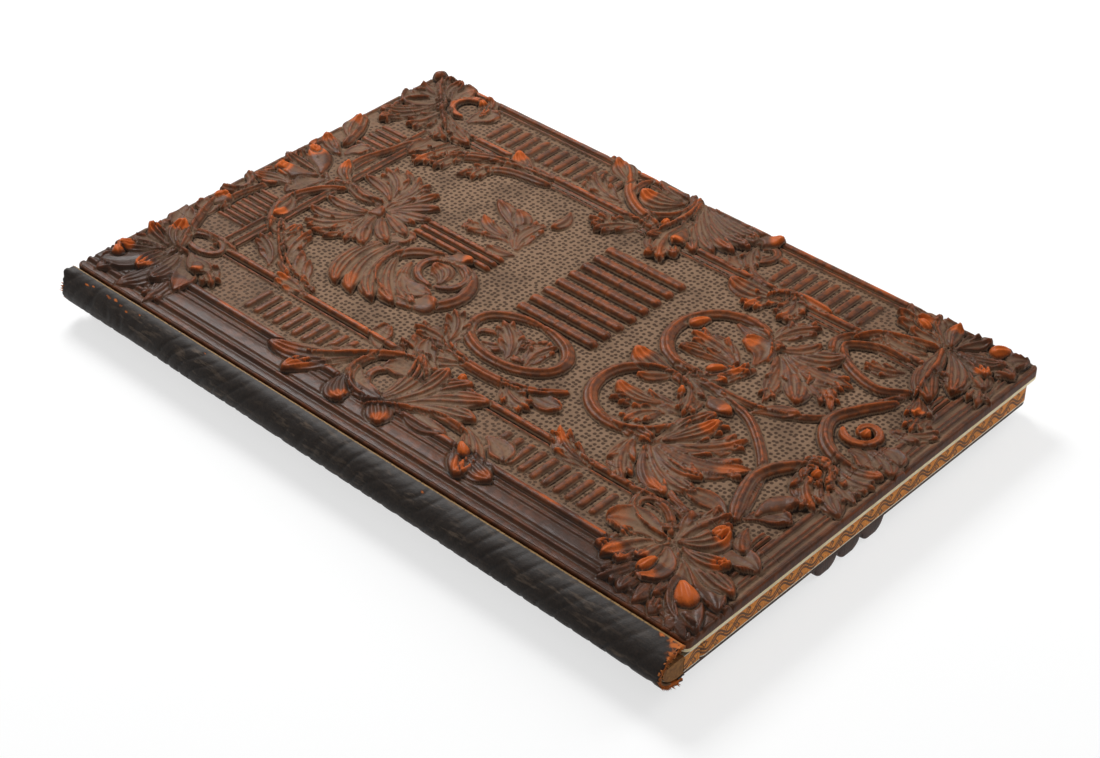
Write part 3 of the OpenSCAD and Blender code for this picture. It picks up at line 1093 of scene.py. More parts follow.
class Plate:
    """A leather plate as heights over a grid, in millimetres."""

    def __init__(self, width: float, height: float, step: float, inset: float) -> None:
        """Lays the grid.

        Args:
            width: Width of the board.
            height: Height of the board.
            step: Distance between grid lines.
            inset: Distance of the outer grid lines from the board's edges.
        """
        self.u = np.linspace(inset, width - inset, round((width - 2 * inset) / step) + 1)
        self.v = np.linspace(inset, height - inset, round((height - 2 * inset) / step) + 1)
        self.U, self.V = np.meshgrid(self.u, self.v)
        self.step = step
        self.size = (width, height)
        self.low = (inset, inset)
        self.high = (width - inset, height - inset)
        self.radius = CORNER_R - inset
        self.h, self.floor, self.wear, self.motif = np.zeros((4, *self.U.shape))
        self.warp = drift(self.U / 9, self.V / 9, 3) * 0.12

    def window(self, low: Array, high: Array) -> tuple[slice, slice]:
        """Gives the part of the grid between two corners.

        Args:
            low: The low corner.
            high: The high corner.

        Returns:
            Its rows and columns.
        """
        i0, i1 = np.searchsorted(self.u, [low[0], high[0]])
        j0, j1 = np.searchsorted(self.v, [low[1], high[1]])
        return slice(j0, j1), slice(i0, i1)

    def near_path(self, path: Array, reach: float) -> tuple[tuple[slice, slice], Array, Array]:
        """Measures the grid against a line.

        Args:
            path: The line's points.
            reach: How far from the line to look.

        Returns:
            The window, the share of the line at its nearest point, and the signed distance.
        """
        win = self.window(path.min(0) - reach, path.max(0) + reach)
        u, v = self.U[win], self.V[win]
        lengths = np.hypot(*np.diff(path, axis=0).T)
        total, done = lengths.sum(), 0.0
        best = np.full(u.shape, 1e9)
        t, s = np.zeros(u.shape), np.zeros(u.shape)
        for a, b, length in zip(path[:-1], path[1:], lengths):
            if length < SHORT:
                continue
            d = (b - a) / length
            along = np.clip((u - a[0]) * d[0] + (v - a[1]) * d[1], 0.0, length)
            off_u, off_v = u - a[0] - along * d[0], v - a[1] - along * d[1]
            away = np.hypot(off_u, off_v)
            closer = away < best
            best = np.where(closer, away, best)
            t = np.where(closer, (done + along) / total, t)
            s = np.where(closer, np.sign(d[0] * off_v - d[1] * off_u) * away, s)
            done += length
        return win, t, s

    def lay(self, win: tuple[slice, slice], shape: Array, height: float, away: Array, wear: Array,
            groove: float = 0.75) -> None:
        """Lays a raised form over what is there, with a groove round its outline.

        Args:
            win: The window.
            shape: Share of the height, 0 outside.
            height: Height over the rim.
            away: Distance outside the outline, in groove widths.
            wear: Wear of the form.
            groove: Depth of the groove.
        """
        h, floor = self.h[win], self.floor[win]
        top = floor + (height + self.warp[win] - floor) * np.clip(shape, 0, None)
        inside = (shape > 0) & (top > h - 0.9)
        moat = np.clip(1 - away, 0, 1) * (shape <= 0)
        h = h - groove * moat * np.clip((h - floor) + 0.5, 0, 1)
        self.h[win] = np.where(inside, top, h)
        self.wear[win] = np.where(inside, wear, self.wear[win] * (1 - moat))
        self.motif[win] = np.maximum(self.motif[win], np.where(shape > 0, 1.0, 0.6 * moat))

    def leaf(self, leaf: Leaf) -> None:
        """Embosses a leaf, as overlapping fingers where it has lobes."""
        for k, blade in enumerate(leaf.fingers() if leaf.lobes else [leaf]):
            self.blade(blade, 0.4 if k else 0.75)

    def blade(self, leaf: Leaf, groove: float) -> None:
        """Embosses one blade with ribs along it and a curled tip.

        Args:
            leaf: The blade.
            groove: Depth of the groove round it.
        """
        win, t, s = self.near_path(bowed(leaf.base, leaf.tip, leaf.bow), leaf.width * 0.9 + 1.5)
        wide = leaf.width * LEAF_SWELL
        half = wide / 2 * (0.24 * (1 - t) + np.sin(np.pi * np.clip(t, 0, 1) ** 1.45) ** 0.75)
        half = np.maximum(half, 0.02)
        r = np.abs(s) / half
        if leaf.crown is Crown.CUPPED:
            body = 0.34 + 0.66 * r ** 2.2 + 0.16 * np.exp(-(r / 0.2) ** 2)
            body = body * (1 - smooth_step(0.84, 1.02, r))
        else:
            body = np.clip(1 - r ** 2.8, 0, 1) ** 0.5
        if leaf.crown is Crown.RIBBED:
            ribs = max(1, round(wide / 5.6))
            body = body * (1 - 0.42 * (0.5 - 0.5 * np.cos(2 * np.pi * ribs * r)) * smooth_step(1.0, 0.8, t))
        curl = np.exp(-((t - 0.86) / 0.09) ** 2)
        rise = 0.40 + 0.60 * t ** 1.3 + 0.22 * curl
        shape = np.where(r < 1.02, body * rise * (1 - smooth_step(0.955, 1.0, t) * 0.7), 0)
        wear = leaf.wear * np.clip(1.5 * np.exp(-((t - 0.8) / 0.17) ** 2) * np.clip(1 - r ** 2, 0, 1), 0, 1)
        edge = (np.abs(s) - half) / 1.1
        edge = np.where(t >= 1.0, np.maximum(edge, np.abs(s) / 1.1), edge)
        self.lay(win, shape, leaf.height, np.clip(edge, 0, 1), wear, groove)

    def stem(self, stem: Stem) -> None:
        """Embosses a stem with parallel ribs.

        Args:
            stem: The stem.
        """
        win, t, s = self.near_path(stem.path, stem.width * 0.6 + 1.5)
        taper = np.clip(np.minimum(t / 0.12, (1 - t) / 0.12), 0.0, 1.0) ** 0.5
        half = np.maximum(stem.width * 0.58 * (0.35 + 0.65 * taper), 0.02)
        r = np.abs(s) / half
        body = np.clip(1 - r ** 2.6, 0, 1) ** 0.6
        turn = 2 * np.pi * stem.ribs * (s / half * 0.5 + 0.5)
        body = body * (1 - 0.34 * (0.5 - 0.5 * np.cos(turn)))
        shape = np.where(r < 1, body * (0.75 + 0.25 * taper), 0)
        wear = stem.wear * np.clip(1 - r ** 2, 0, 1)
        self.lay(win, shape, stem.height, np.clip(np.abs(s) - half, 0, 1), wear)

    def bulb(self, bulb: Bulb) -> None:
        """Embosses a boss.

        Args:
            bulb: The boss.
        """
        c = np.array(bulb.centre)
        win = self.window(c - bulb.long / 2 - 1.5, c + bulb.long / 2 + 1.5)
        a = math.radians(bulb.angle)
        du, dv = self.U[win] - c[0], self.V[win] - c[1]
        x = (du * math.cos(a) + dv * math.sin(a)) / (bulb.long / 2)
        y = (dv * math.cos(a) - du * math.sin(a)) / (bulb.wide / 2) / np.clip(1 - bulb.taper * x, 0.3, 1.2)
        r = np.hypot(x, y)
        shape = np.clip(1 - r ** 2.2, 0, 1) ** 0.5 * (
            1 - 0.48 * bulb.taper * (0.5 + 0.5 * np.cos(3 * np.pi * y)) * np.clip(1 - r, 0, 1) ** 0.3)
        self.lay(win, shape, bulb.height, np.clip((r - 1) * bulb.wide / 2, 0, 1),
                 bulb.wear * np.clip(1.2 - r ** 2, 0, 1))

    def bars(self, bars: Bars) -> None:
        """Embosses a panel of reeds.

        Args:
            bars: The panel.
        """
        win = self.window(np.array(bars.first), np.array(bars.last))
        x, y = (self.U[win], self.V[win]) if bars.upright else (self.V[win], self.U[win])
        k = 0 if bars.upright else 1
        a0, a1, b0, b1 = bars.first[k], bars.last[k], bars.first[1 - k], bars.last[1 - k]
        r = np.abs((x - a0) / ((a1 - a0) / bars.count) % 1.0 - 0.5) * 2 / bars.share
        ends = np.clip(np.minimum(y - b0, b1 - y) / 1.6 - 0.5 * r, 0, 1)
        shape = np.clip(1 - r ** 3, 0, 1) ** 0.5 * ends ** 0.5
        top = self.floor[win] + (bars.height - self.floor[win]) * shape
        gap = (r >= 1) & (r < 1.45) & (np.minimum(y - b0, b1 - y) > 0.6)
        self.h[win] = np.where(gap, np.minimum(self.h[win], self.floor[win] - 0.25), np.maximum(self.h[win], top))
        self.motif[win] = np.maximum(self.motif[win], (shape > 0) * 1.0)

    def ridge(self, x: Array, place: float, half: float, height: float, base: float, where: Array) -> None:
        """Runs a rounded ridge along a grid direction.

        Args:
            x: Places across the ridge, on the grid.
            place: Its middle.
            half: Half its width.
            height: Height of its crest.
            base: Height of its foot.
            where: True where it runs.
        """
        r = np.abs(x - place) / half
        crest = base + (height - base) * np.sqrt(np.clip(1 - r ** 2.5, 0, 1))
        self.h = np.where(where & (r < 1), np.maximum(self.h, crest), self.h)

    def groove(self, x: Array, place: float, half: float, depth: float, where: Array) -> None:
        """Sinks a round-bottomed groove along a grid direction.

        Args:
            x: Places across the groove, on the grid.
            place: Its middle.
            half: Half its width.
            depth: Height of its bottom.
            where: True where it runs.
        """
        r = np.abs(x - place) / half
        low = depth + (self.h - depth) * np.clip(r, 0, 1) ** 3
        self.h = np.where(where & (r < 1), np.minimum(self.h, low), self.h)

    def emboss(self, motifs: Iterable[Leaf | Stem | Bulb | Bars]) -> None:
        """Embosses each motif in turn."""
        ways = {Leaf: self.leaf, Stem: self.stem, Bulb: self.bulb, Bars: self.bars}
        for motif in motifs:
            ways[type(motif)](motif)

    def hollow(self) -> Array:
        """Gives how far each point lies over its surroundings, with one half for level ground.

        Returns:
            The shares, from 0 to 1.
        """
        near = box_blur(self.h, max(1, round(0.9 / self.step)))
        far = box_blur(self.h, max(1, round(2.6 / self.step)))
        return np.clip(0.5 + (self.h - 0.5 * near - 0.5 * far) * 0.16, 0, 1)

    def shells(self, names: dict[str, tuple[float, float, float, float]], flat: float, base: float,
               paint: Array, up: bool) -> dict[str, Shape]:
        """Cuts the plate into closed shells.

        Args:
            names: Low u, high u, low v and high v of each shell.
            flat: Height of the flat side.
            base: Height that the relief is measured from.
            paint: Four values for each grid point.
            up: True if the relief is on top.

        Returns:
            The shells by name.
        """
        u, v = round_corners(self.U, self.V, self.low, self.high, self.radius)
        z = base + (self.h if up else -self.h)
        made = {}
        for name, (u0, u1, v0, v1) in names.items():
            i0, i1 = np.searchsorted(self.u, u0), min(np.searchsorted(self.u, u1), len(self.u) - 1)
            j0, j1 = np.searchsorted(self.v, v0), min(np.searchsorted(self.v, v1), len(self.v) - 1)
            part = (slice(j0, j1 + 1), slice(i0, i1 + 1))
            made[name] = grid_shell(u[part], v[part], z[part], flat, paint[part], up)
        return made

    def rim(self) -> tuple[Array, Array, Array]:
        """Gives the outer grid points in order: place, outward way and height.

        Returns:
            The three, a row for each point.
        """
        index = rim_order(*self.U.shape)
        u, v = round_corners(self.U.ravel()[index], self.V.ravel()[index], self.low, self.high, self.radius)
        points = np.column_stack([u, v])
        out = points - np.clip(points, np.add(self.low, self.radius), np.subtract(self.high, self.radius))
        return points, out / np.hypot(*out.T)[:, None], self.h.ravel()[index]


def rim_order(rows: int, cols: int) -> Array:
    """Lists a grid's outer points, counter-clockwise from the first."""
    return np.concatenate([
        np.arange(cols), np.arange(1, rows) * cols + cols - 1,
        (rows - 1) * cols + np.arange(cols - 2, -1, -1), np.arange(rows - 2, 0, -1) * cols])


def grid_shell(u: Array, v: Array, z: Array, flat: float, paint: Array, up: bool) -> Shape:
    """Closes a grid of heights down to a flat side.

    Args:
        u: Places along the width.
        v: Places along the height.
        z: Heights.
        flat: Height of the flat side.
        paint: Four values for each point.
        up: True if the relief is on top.

    Returns:
        The closed shell.
    """
    rows, cols = u.shape
    index = np.arange(rows * cols).reshape(rows, cols)
    quads = np.column_stack([index[:-1, :-1].ravel(), index[:-1, 1:].ravel(),
                             index[1:, 1:].ravel(), index[1:, :-1].ravel()])
    ring = rim_order(rows, cols)
    low = rows * cols + np.arange(len(ring))
    walls = np.column_stack([np.roll(ring, -1), ring, low, np.roll(low, -1)])
    bottom = low[::-1][None, :]
    top = np.column_stack([u.ravel(), v.ravel(), z.ravel()])
    points = np.vstack([top, np.column_stack([top[ring, :2], np.full(len(ring), flat)])])
    colours = np.vstack([paint.reshape(-1, 4), paint.reshape(-1, 4)[ring]])
    faces = [(quads, 0, True), (walls, 0, False), (bottom, 0, False)]
    if not up:
        faces = [(corners[:, ::-1], finish, smooth) for corners, finish, smooth in faces]
    return Shape(points, faces, colours)


def ring_shape(points: Array, ways: Array, profile: list[tuple[Array, Array]], paint: Array) -> Shape:
    """Sweeps a closed profile round a closed line.

    Args:
        points: Places of the line.
        ways: Outward way at each place.
        profile: Distance outward and height of each profile point, for the whole line.
        paint: Four values for each profile point and place.

    Returns:
        The closed ring, smooth all round.
    """
    count, steps = len(points), len(profile)
    rows = [np.column_stack([points + ways * np.asarray(d)[..., None] * np.ones((count, 1)),
                             np.broadcast_to(z, (count,))]) for d, z in profile]
    ring = np.arange(count)
    after = (ring + 1) % count
    ends = [(k * count, (k + 1) % steps * count) for k in range(steps)]
    sides = np.vstack([np.column_stack([after + a, ring + a, ring + b, after + b]) for a, b in ends])
    return Shape(np.vstack(rows), [(sides, 0, True)], paint.reshape(-1, 4))


def branch(points: Iterable[float], *sizes: float) -> Stem:
    """Makes a stem through points, with its width, height, ribs and wear."""
    return Stem(through(points), *sizes)


def coil(line: Iterable[float], *sizes: float) -> Stem:
    """Makes a stem along a winding line, with its width, height, ribs and wear."""
    return Stem(winding(*line), *sizes)


def placed(kind: type, count: int, rows: Iterable[tuple]) -> tuple:
    """Makes a motif of each row.

    Args:
        kind: The kind of motif.
        count: How many places a row starts with, each as u and v.
        rows: The rows, with the motif's other sizes after its places.

    Returns:
        The motifs.
    """
    return tuple(kind(*(row[2 * k:2 * k + 2] for k in range(count)), *row[2 * count:]) for row in rows)


# Motifs of the front cover, listed one by one in millimetres from the joint and the tail.
FRONT_STEMS = (
    # great ribs of the field
    coil((89, 97, 19, 19.5, -75, 260), 5, 1.3, 2, 0.25), coil((133.5, 97, 20, 20, -75, 260), 5, 1.3, 2, 0.25),
    branch((112, 100, 112, 84, 109, 70, 106, 60, 97, 48, 86, 38, 74, 33, 60, 27), 3.6, 0.9, 2),
    branch((113, 96, 112, 80, 113, 64, 118, 50, 126, 40, 136, 36, 148, 30, 160, 25), 3.4, 0.8, 2),
    branch((58, 28, 70, 34, 82, 37.5, 92, 34, 101, 26, 102, 18), 5.5, 1.8, 2, 0.1),
    coil((97, 23, 8.5, 8.5, 60, -400, 0.15), 3.4, 2.2, 1, 0.5),
    branch((108, 12, 110, 24, 116, 33, 126, 38, 137, 34, 150, 26), 5, 1.7, 2, 0.1),
    coil((127.5, 23.5, 8.5, 8.5, 110, 520, 0.15), 3.4, 2, 1, 0.4),
    # arch branches of the field
    branch((52, 236, 54, 250, 60, 262, 68, 272, 77, 282), 5.5, 1.3, 3, 0.2),
    branch((175, 222, 173, 240, 167, 256, 158, 268, 146, 275), 6, 1.3, 3, 0.2),
    branch((171, 220, 168, 238, 161, 249, 151, 254), 4.5, 1, 2),
    branch((115, 262, 112, 270, 114, 278, 112, 287), 5, 1.3, 2),
    # head-side ring
    coil((87.5, 210.5, 17, 20.5, 0, 360), 5.5, 1.2, 2, 0.25), coil((95, 207, 9, 11, -160, 190), 3, 0.9, 1),
    # curls over the head
    coil((84, 319, 7, 9, 180, 360), 4.5, 2.2, 2), branch((134, 305, 146, 309, 156, 316), 4.5, 2.2, 2, 0.1),
    branch((66, 306, 75, 309, 92, 306), 3.6, 1.6, 2), branch((15, 13, 8, 7, 1.5, 1.8), 2.6, 0.7, 1),
    # roundel
    branch((70, 172, 74, 160, 82, 150, 90, 146), 3, 0.7, 1), coil((76, 163, 5, 7, 0, 360), 2.6, 0.6, 1),
    coil((80, 148, 6, 7, 0, 360), 2.6, 0.6, 1), coil((82, 153.5, 14, 22.5, 0, 360), 4.8, 1.2, 2, 0.2),
    # tall leaf stem beside the roundel
    branch((72, 119, 64, 128, 60, 142, 59.5, 156, 62, 170, 69, 180), 5, 1.2, 3, 0.35),
    # left mid-side ring and stems
    coil((33, 174, 14.5, 14.5, -60, 210), 4.2, 2, 2, 0.25), coil((31, 171, 7.5, 9.5, 0, 330), 3, 1.4, 1),
    branch((18, 222, 21, 210, 28, 200, 38, 190, 45, 180, 49, 168), 4.2, 2.1, 2, 0.45),
    branch((29, 128, 30, 140, 27, 150, 22, 160, 16, 168), 4, 2, 2, 0.3),
    # right mid-side ring and stems
    coil((195, 178, 13, 13.5, 60, 330), 4, 2.1, 2, 0.25),
    branch((178, 165, 182, 180, 188, 190, 196, 197, 203, 205, 204, 214), 4.4, 2.2, 2, 0.4),
    branch((176, 164, 188, 162, 198, 163, 204, 166), 4.6, 2.4, 2, 0.5),
    coil((186, 114, 8, 7, -30, 200), 2.8, 1, 1), coil((193, 122, 7, 6, 160, 420, 0.5), 2.8, 1.2, 1),
    branch((178, 78, 179, 92, 176, 101, 169, 104), 4.2, 1.8, 2, 0.55),
    # bottom left neck and loops
    branch((35, 36, 35, 48, 40, 58, 50, 61), 3.6, 1.8, 2, 0.2),
    branch((37, 38, 45, 46, 48, 56, 47, 66), 3.2, 1.5, 2, 0.2),
    coil((43.5, 49, 5.5, 9.5, 0, 360), 2.4, 1.3, 1, 0.1),
    branch((48, 28, 50, 42, 55, 56, 62, 68, 68, 78), 3, 1, 1, 0.2),
    # bottom right arch and neck
    branch((160, 24, 152, 36, 156, 52, 165, 62, 173, 52, 174, 38), 4.2, 1.5, 2, 0.2),
    branch((158, 62, 166, 66, 174, 62, 180, 50, 184, 38), 4, 1.6, 2, 0.2),
    branch((158, 24, 170, 27, 180, 29, 188, 33), 4.6, 2.2, 2, 0.3),
    branch((188, 34, 185, 44, 180, 56, 172, 62), 4, 2.2, 2, 0.35),
    # top left neck and loops
    branch((35, 290, 36, 298, 42, 303, 48, 300, 50, 290, 49, 278), 3.6, 1.8, 2, 0.2),
    coil((44.5, 291, 5, 9, 0, 360), 2.4, 1.4, 1),
    branch((36, 296, 48, 304, 60, 310, 72, 314), 4.2, 2.2, 2, 0.2),
    # head middle curls
    coil((96, 308, 7, 8, -60, 250, 0.5), 3.4, 2.2, 1, 0.4),
    coil((127, 309, 7, 8, 240, -70, 0.5), 3.4, 2.2, 1, 0.4),
    branch((70, 281, 80, 289, 92, 292, 104, 287, 111, 280), 4, 1.5, 2, 0.35),
    branch((114, 281, 120, 289, 130, 291.5, 144, 288, 160, 284), 3.6, 1.4, 2, 0.25),
    # top right neck
    branch((172, 282, 182, 294, 192, 305, 201, 313), 5, 2.6, 2, 0.15),
    coil((191, 287, 8.5, 8.5, -100, 200, 0.8), 3.4, 2.2, 1, 0.5),
    branch((160, 306, 168, 311, 178, 312, 186, 306), 4, 2.2, 2, 0.2),
)

FRONT_LEAVES = placed(Leaf, 2, (
    # bottom left corner
    (34, 34, 1.5, 18, 3, 9, 1.6), (34, 33, 2, 26, 2, 6.5, 1.3), (34, 32, 1, 2, -3, 11, 2.4, R, 0, 2),
    (31, 26, 6, 1, -3, 10, 2.2, C), (32, 28, 18, 2, 2, 8, 2.2, C), (33, 29, 27, 2.5, 1, 7, 2.4),
    (40, 31, 42, 4, 3, 9, 2.4, C), (34, 35, 3, 33, -2, 7.5, 1.5), (36, 37, 3, 43, 2, 8, 1.4, R, 0, 2),
    (35, 37, 12, 49, -3, 13, 2.4, R, 0.6, 2), (33, 40, 28, 61, -4, 12, 2.6, C, 0.3),
    (31, 35, 13, 34.5, 4, 9, 2.6, C, 0.5), (36, 35, 59, 29, 2, 12, 2.2, R, 0.2, 2),
    (37, 34, 52, 25, -3, 10, 3, R, 0.9), (35, 31, 38.5, 12.5, -2, 7, 3, R, 0.8),
    # bottom right corner
    (190, 30, 204, 4, -3, 10, 2.4, C), (190, 28, 190, 2, 3, 9, 2.4), (191, 27, 167, 3, 4, 9, 2, R, 0, 2),
    (189, 29, 176, 6, 3, 8, 2.2), (189, 30, 167, 14, 3, 8, 2.2, R, 0.2), (190, 28, 183, 10, 3, 7, 3, R, 0.7),
    (191, 27, 195, 8, -2, 7, 2.8, R, 0.1), (187, 32, 158, 17, -4, 8, 2.2, R, 0.1),
    (190, 34, 195.5, 60, -4, 12, 3, R, 0, 2), (192, 36, 196, 52, -3, 7, 3.4, C, 0.9),
    (192, 34, 203, 44, -2, 7, 2.6, C), (193, 32, 204, 35.5, 1, 6, 3.2, R, 0.7),
    (193, 30, 204, 27, -1, 6, 2.6), (193, 29, 204, 21, 1, 6, 2.6),
    # sprays of the field
    (72, 100, 72, 76, 1, 7, 1.1), (149, 100, 148, 76, -1, 7, 1), (70, 84, 48, 70, -3, 8, 0.9, R, 0.2, 2),
    (75, 76, 100, 70, 2, 7, 1, R, 0.2), (74, 74, 96, 52, -3, 9, 1, R, 0.4, 2),
    (150, 84, 168, 74, 3, 8, 0.9, R, 0.1, 2), (147, 76, 137, 44, 3, 9, 0.9, R, 0.2, 2),
    (71, 78, 52, 54, -2, 9, 0.9, R, 0.5), (71, 77, 60, 46, -3, 8, 0.8), (72, 76, 68, 50, -2, 8, 1.2, R, 0.4),
    (73, 76, 84, 40, -5, 11, 1, C, 0.5, 2), (73, 77, 97, 61, 3, 8, 1, R, 0.1, 2),
    (76, 75, 97, 66, -1, 7, 1.6, R, 0.8), (146, 77, 117, 63, 2, 7, 1, C, 0.1, 2),
    (146, 76, 124, 53, 3, 9, 0.9, R, 0.1), (146, 75, 130, 41, 4, 8, 1, C, 0.4, 2),
    (147, 75, 147, 43, -3, 9, 1.1, C, 0.1, 2), (149, 77, 159, 56, -2, 9, 1, R, 0.2),
    (147, 80, 160, 68, -2, 5, 0.8), (182, 36, 181, 55, 1, 6, 1.2, R, 0.2),
    (168, 36, 162, 50, 2, 6, 0.6, R, 0.2, 2), (58, 32, 58, 50, -3, 7, 0.8, C),
    (110, 62, 120, 47, 2, 6, 1, R, 0.3), (104, 84, 103, 66, 1, 6, 1, B, 0.5),
    # bow between the scrolls
    (110, 94, 90, 79, 3, 8, 1.6, R, 0.2, 2), (111, 94, 131, 80, -3, 8, 1.8, R, 0.9, 2),
    (109, 98, 110.5, 119, 2, 9, 1.5, R, 0.6), (109, 97, 98, 108, 1, 5, 1),
    # leaves inside the scrolls
    (92, 80, 80, 106, -4, 8, 1.1, R, 0.2, 2), (92, 90, 90, 110, 3, 7, 1.1, R, 0.5),
    (88, 86, 73, 92, -3, 8, 1.2, R, 0.4, 2), (128, 81, 122, 108, -3, 7, 1, R, 0.1),
    (128, 84, 132, 110, -3, 9, 1.2, R, 0.5, 2), (134, 80, 142, 93, -5, 8, 1.5, C, 0.6),
    # volute leaves over the tail rim
    (104, 28, 80, 10, -3, 9, 1.8, R, 0.4, 2), (104, 22, 83, 1.5, -2, 8, 1.6, R, 0.1),
    (105, 20, 93, 2, -2, 8, 1.8, C, 0.1, 2), (106, 20, 104, 1.5, -2, 8, 1.8, R, 0.2, 2),
    (109, 22, 111, 3, -1, 7, 1.8, R, 0.4), (117, 22, 112, 8, 2, 8, 2.2, C, 0.2),
    (121, 18, 113, 1.5, 3, 8, 1.8), (125, 15, 120, 3, 2, 6, 2.2, C), (136, 18, 146, 4, -2, 8, 1.6, R, 0, 2),
    (160, 24, 138, 12, 2, 8, 1.8, R, 0.1, 2), (158, 22, 147, 16, 1, 5, 2.6, R, 0.9),
    (62, 26, 70, 12, 3, 7, 2, C), (66, 24, 80, 16, 3, 7, 1.8, B, 0.1), (58, 22, 46, 14, -1, 5, 1.6, R, 0.2),
    # inside the roundel
    (72, 150, 88, 168, -3, 8, 0.7, R, 0.1, 2), (74, 142, 90, 140, 3, 7, 0.7, R, 0, 2),
    (60, 160, 53, 188, 3, 8, 1.4, R, 0.2, 2), (62, 168, 62, 190, -3, 8, 1.4, R, 0.1, 2),
    (64, 174, 80, 186, -3, 8, 1.3, R, 0.1, 2), (61, 140, 55, 122, -2, 8, 1.2, R, 0.1, 2),
    (64, 130, 64, 114, -2, 7, 1.2, C),
    # left middle
    (40, 188, 8, 206, -4, 10, 2.2, R, 0.5), (37, 191, 17, 223, 4, 9, 2.1, R, 0.35),
    (23, 187, 11, 176, -2, 8, 2.1, R, 0.5), (21, 171, 10, 156, 2, 8, 2.1, R, 0.5),
    (24, 158, 24, 134, -2, 7, 1.4, C), (26, 158, 36, 131, 3, 8, 1.5, R, 0.1),
    (26, 160, 47, 134, 4, 9, 1.7, R, 0.3), (24, 163, 51, 146, 4, 8, 1.8, R, 0.2),
    (22, 166, 52, 160, -3, 8, 1.9, R, 0.2), (21, 168, 51, 174, -5, 8, 2, R, 0.3),
    (31, 131, 8, 115, 3, 10, 2.2, R, 0.6), (22, 122, 15, 103, -2, 8, 1.9, R, 0.4),
    (33, 122, 26, 108, 2, 8, 1.6, C), (44, 190, 57, 197, 2, 7, 1.4, C), (30, 186, 22, 166, -4, 7, 1.6, C),
    (40, 164, 36, 180, -3, 8, 1.5, C), (46, 176, 58, 186, -2, 6, 1, R, 0.1), (50, 166, 61, 180, 2, 6, 1, C),
    (46, 84, 55, 107, 3, 8, 1.8, R, 0.7, 2), (48, 236, 49, 254, -2, 9, 1.8, R, 0.6, 2),
    # right middle
    (180, 172, 164, 192, 4, 8, 1.6, R, 0.3, 2), (182, 190, 190, 212, 3, 8, 1.8, R, 0.2, 2),
    (184, 134, 176, 122, 2, 8, 1.4, C), (203, 163, 173, 143, -3, 8, 1.8, R, 0.1),
    (203, 163, 178, 137, -3, 7, 1.8, R, 0.1), (203, 162, 184, 131, -3, 7, 2, R, 0.35),
    (203, 161, 191, 128, -3, 7, 2, R, 0.1), (203, 160, 198, 128, -2, 7, 2, R, 0.1),
    (190, 159, 160, 150, -4, 13, 2, R, 0.3, 2), (184, 157, 172, 154, 1, 6, 2.6, B, 0.7),
    (195, 134, 204, 121, -1, 6, 3, B, 0.9), (196, 128, 180, 118, -3, 6, 1.2, C, 0, 2),
    (178, 96, 161, 92, 3, 9, 1.2, R, 0.4, 2), (177, 98, 158, 105, -3, 8, 1.6, R, 0.7, 2),
    (173, 99, 170, 122, 2, 9, 1.4, R, 0.3), (174, 172, 158, 184, -3, 7, 1.4, R, 0.2, 2),
    (198, 170, 193, 188, 3, 9, 2.4, R, 0.7), (200, 170, 204, 188, -2, 7, 2, C),
    (194, 196, 204, 212, -2, 9, 2.4, R, 0.5), (174, 230, 180, 246, 2, 7, 2, R, 0.9),
    (162, 200, 148, 198, 2, 5, 0.6),
    # head-side ring and leaves
    (92, 222, 73, 200, -5, 7, 1.1, R, 0.2), (95, 230, 67, 206, -6, 7, 1.2, R, 0.3),
    (97, 234, 63, 214, -6, 7, 1.2, R, 0.1), (98, 236, 61, 224, -7, 7, 1.2, R, 0.4),
    (99, 239, 61, 233, -7, 7, 1.3, R, 0.2), (96, 240, 105, 232, 2, 7, 1.2, C),
    (84, 218, 82, 200, -3, 7, 0.9, C, 0.1), (90, 204, 96, 214, -3, 8, 1, R, 0.3),
    (74, 204, 80, 195, -2, 9, 1.5, B, 0.3), (102, 214, 108, 203, 2, 6, 1.4, B, 0.6),
    # sprig right of the reeds
    (136, 205, 148, 228, -2, 6, 0.8, R, 0.2), (136, 206, 148, 217, -3, 6, 0.8, R, 0.3),
    (130, 204, 124, 226, -4, 8, 0.8, C, 0, 2), (132, 206, 136, 224, 2, 5, 0.9, R, 0.4),
    (128, 198, 148, 200, 4, 8, 0.7, C, 0, 2), (124, 196, 121, 208, 1, 5, 0.7),
    # palmette
    (109, 258, 84, 252, -2, 8.5, 0.9, R, 0, 2), (109, 257, 87, 244, -3, 5, 1, R, 0.1),
    (110, 256, 95, 238, -2, 4.6, 0.9), (110, 256, 103, 236, 1, 4.4, 1, R, 0.1), (112, 256, 112, 240, 1, 4, 0.9),
    (112, 256, 118, 236, 1, 4.4, 1), (112, 256, 127, 240, 2, 4.8, 0.9, R, 0.2), (112, 257, 134, 247, 2, 5, 1),
    (112, 258, 137, 255, 2, 8.5, 0.9, R, 0.1, 2), (103, 260, 80, 261, 2, 4.8, 0.9),
    (102, 261, 80, 268, 3, 5, 1, R, 0.1), (102, 261, 84, 276, 4, 8.5, 0.9, R, 0, 2),
    (103, 261, 92, 281, 3, 4.8, 1.1), (118, 260, 138, 263, -2, 4.6, 0.9),
    (119, 261, 138, 271, -3, 5, 1, R, 0.1), (119, 261, 133, 279, -4, 8.5, 0.9, R, 0, 2),
    (118, 261, 123, 281, -3, 4.8, 1.1), (112, 260, 114, 280, -1, 4.2, 0.9), (107, 259, 102, 281, 1, 4.6, 1.1),
    (106, 260, 111, 256, 0, 6, 1.2, B),
    # upper left of the field
    (54, 240, 65, 251, 3, 6, 1), (55, 246, 68, 258, 3, 6, 1, R, 0.2), (57, 256, 80, 266, 4, 7, 1.2, R, 0.3, 2),
    (61, 264, 80, 272, 4, 7, 1.3, R, 0.5), (72, 284, 77, 270, -1, 7, 1.6, C),
    (53, 262, 64, 281, -3, 8, 1, R, 0.1, 2),
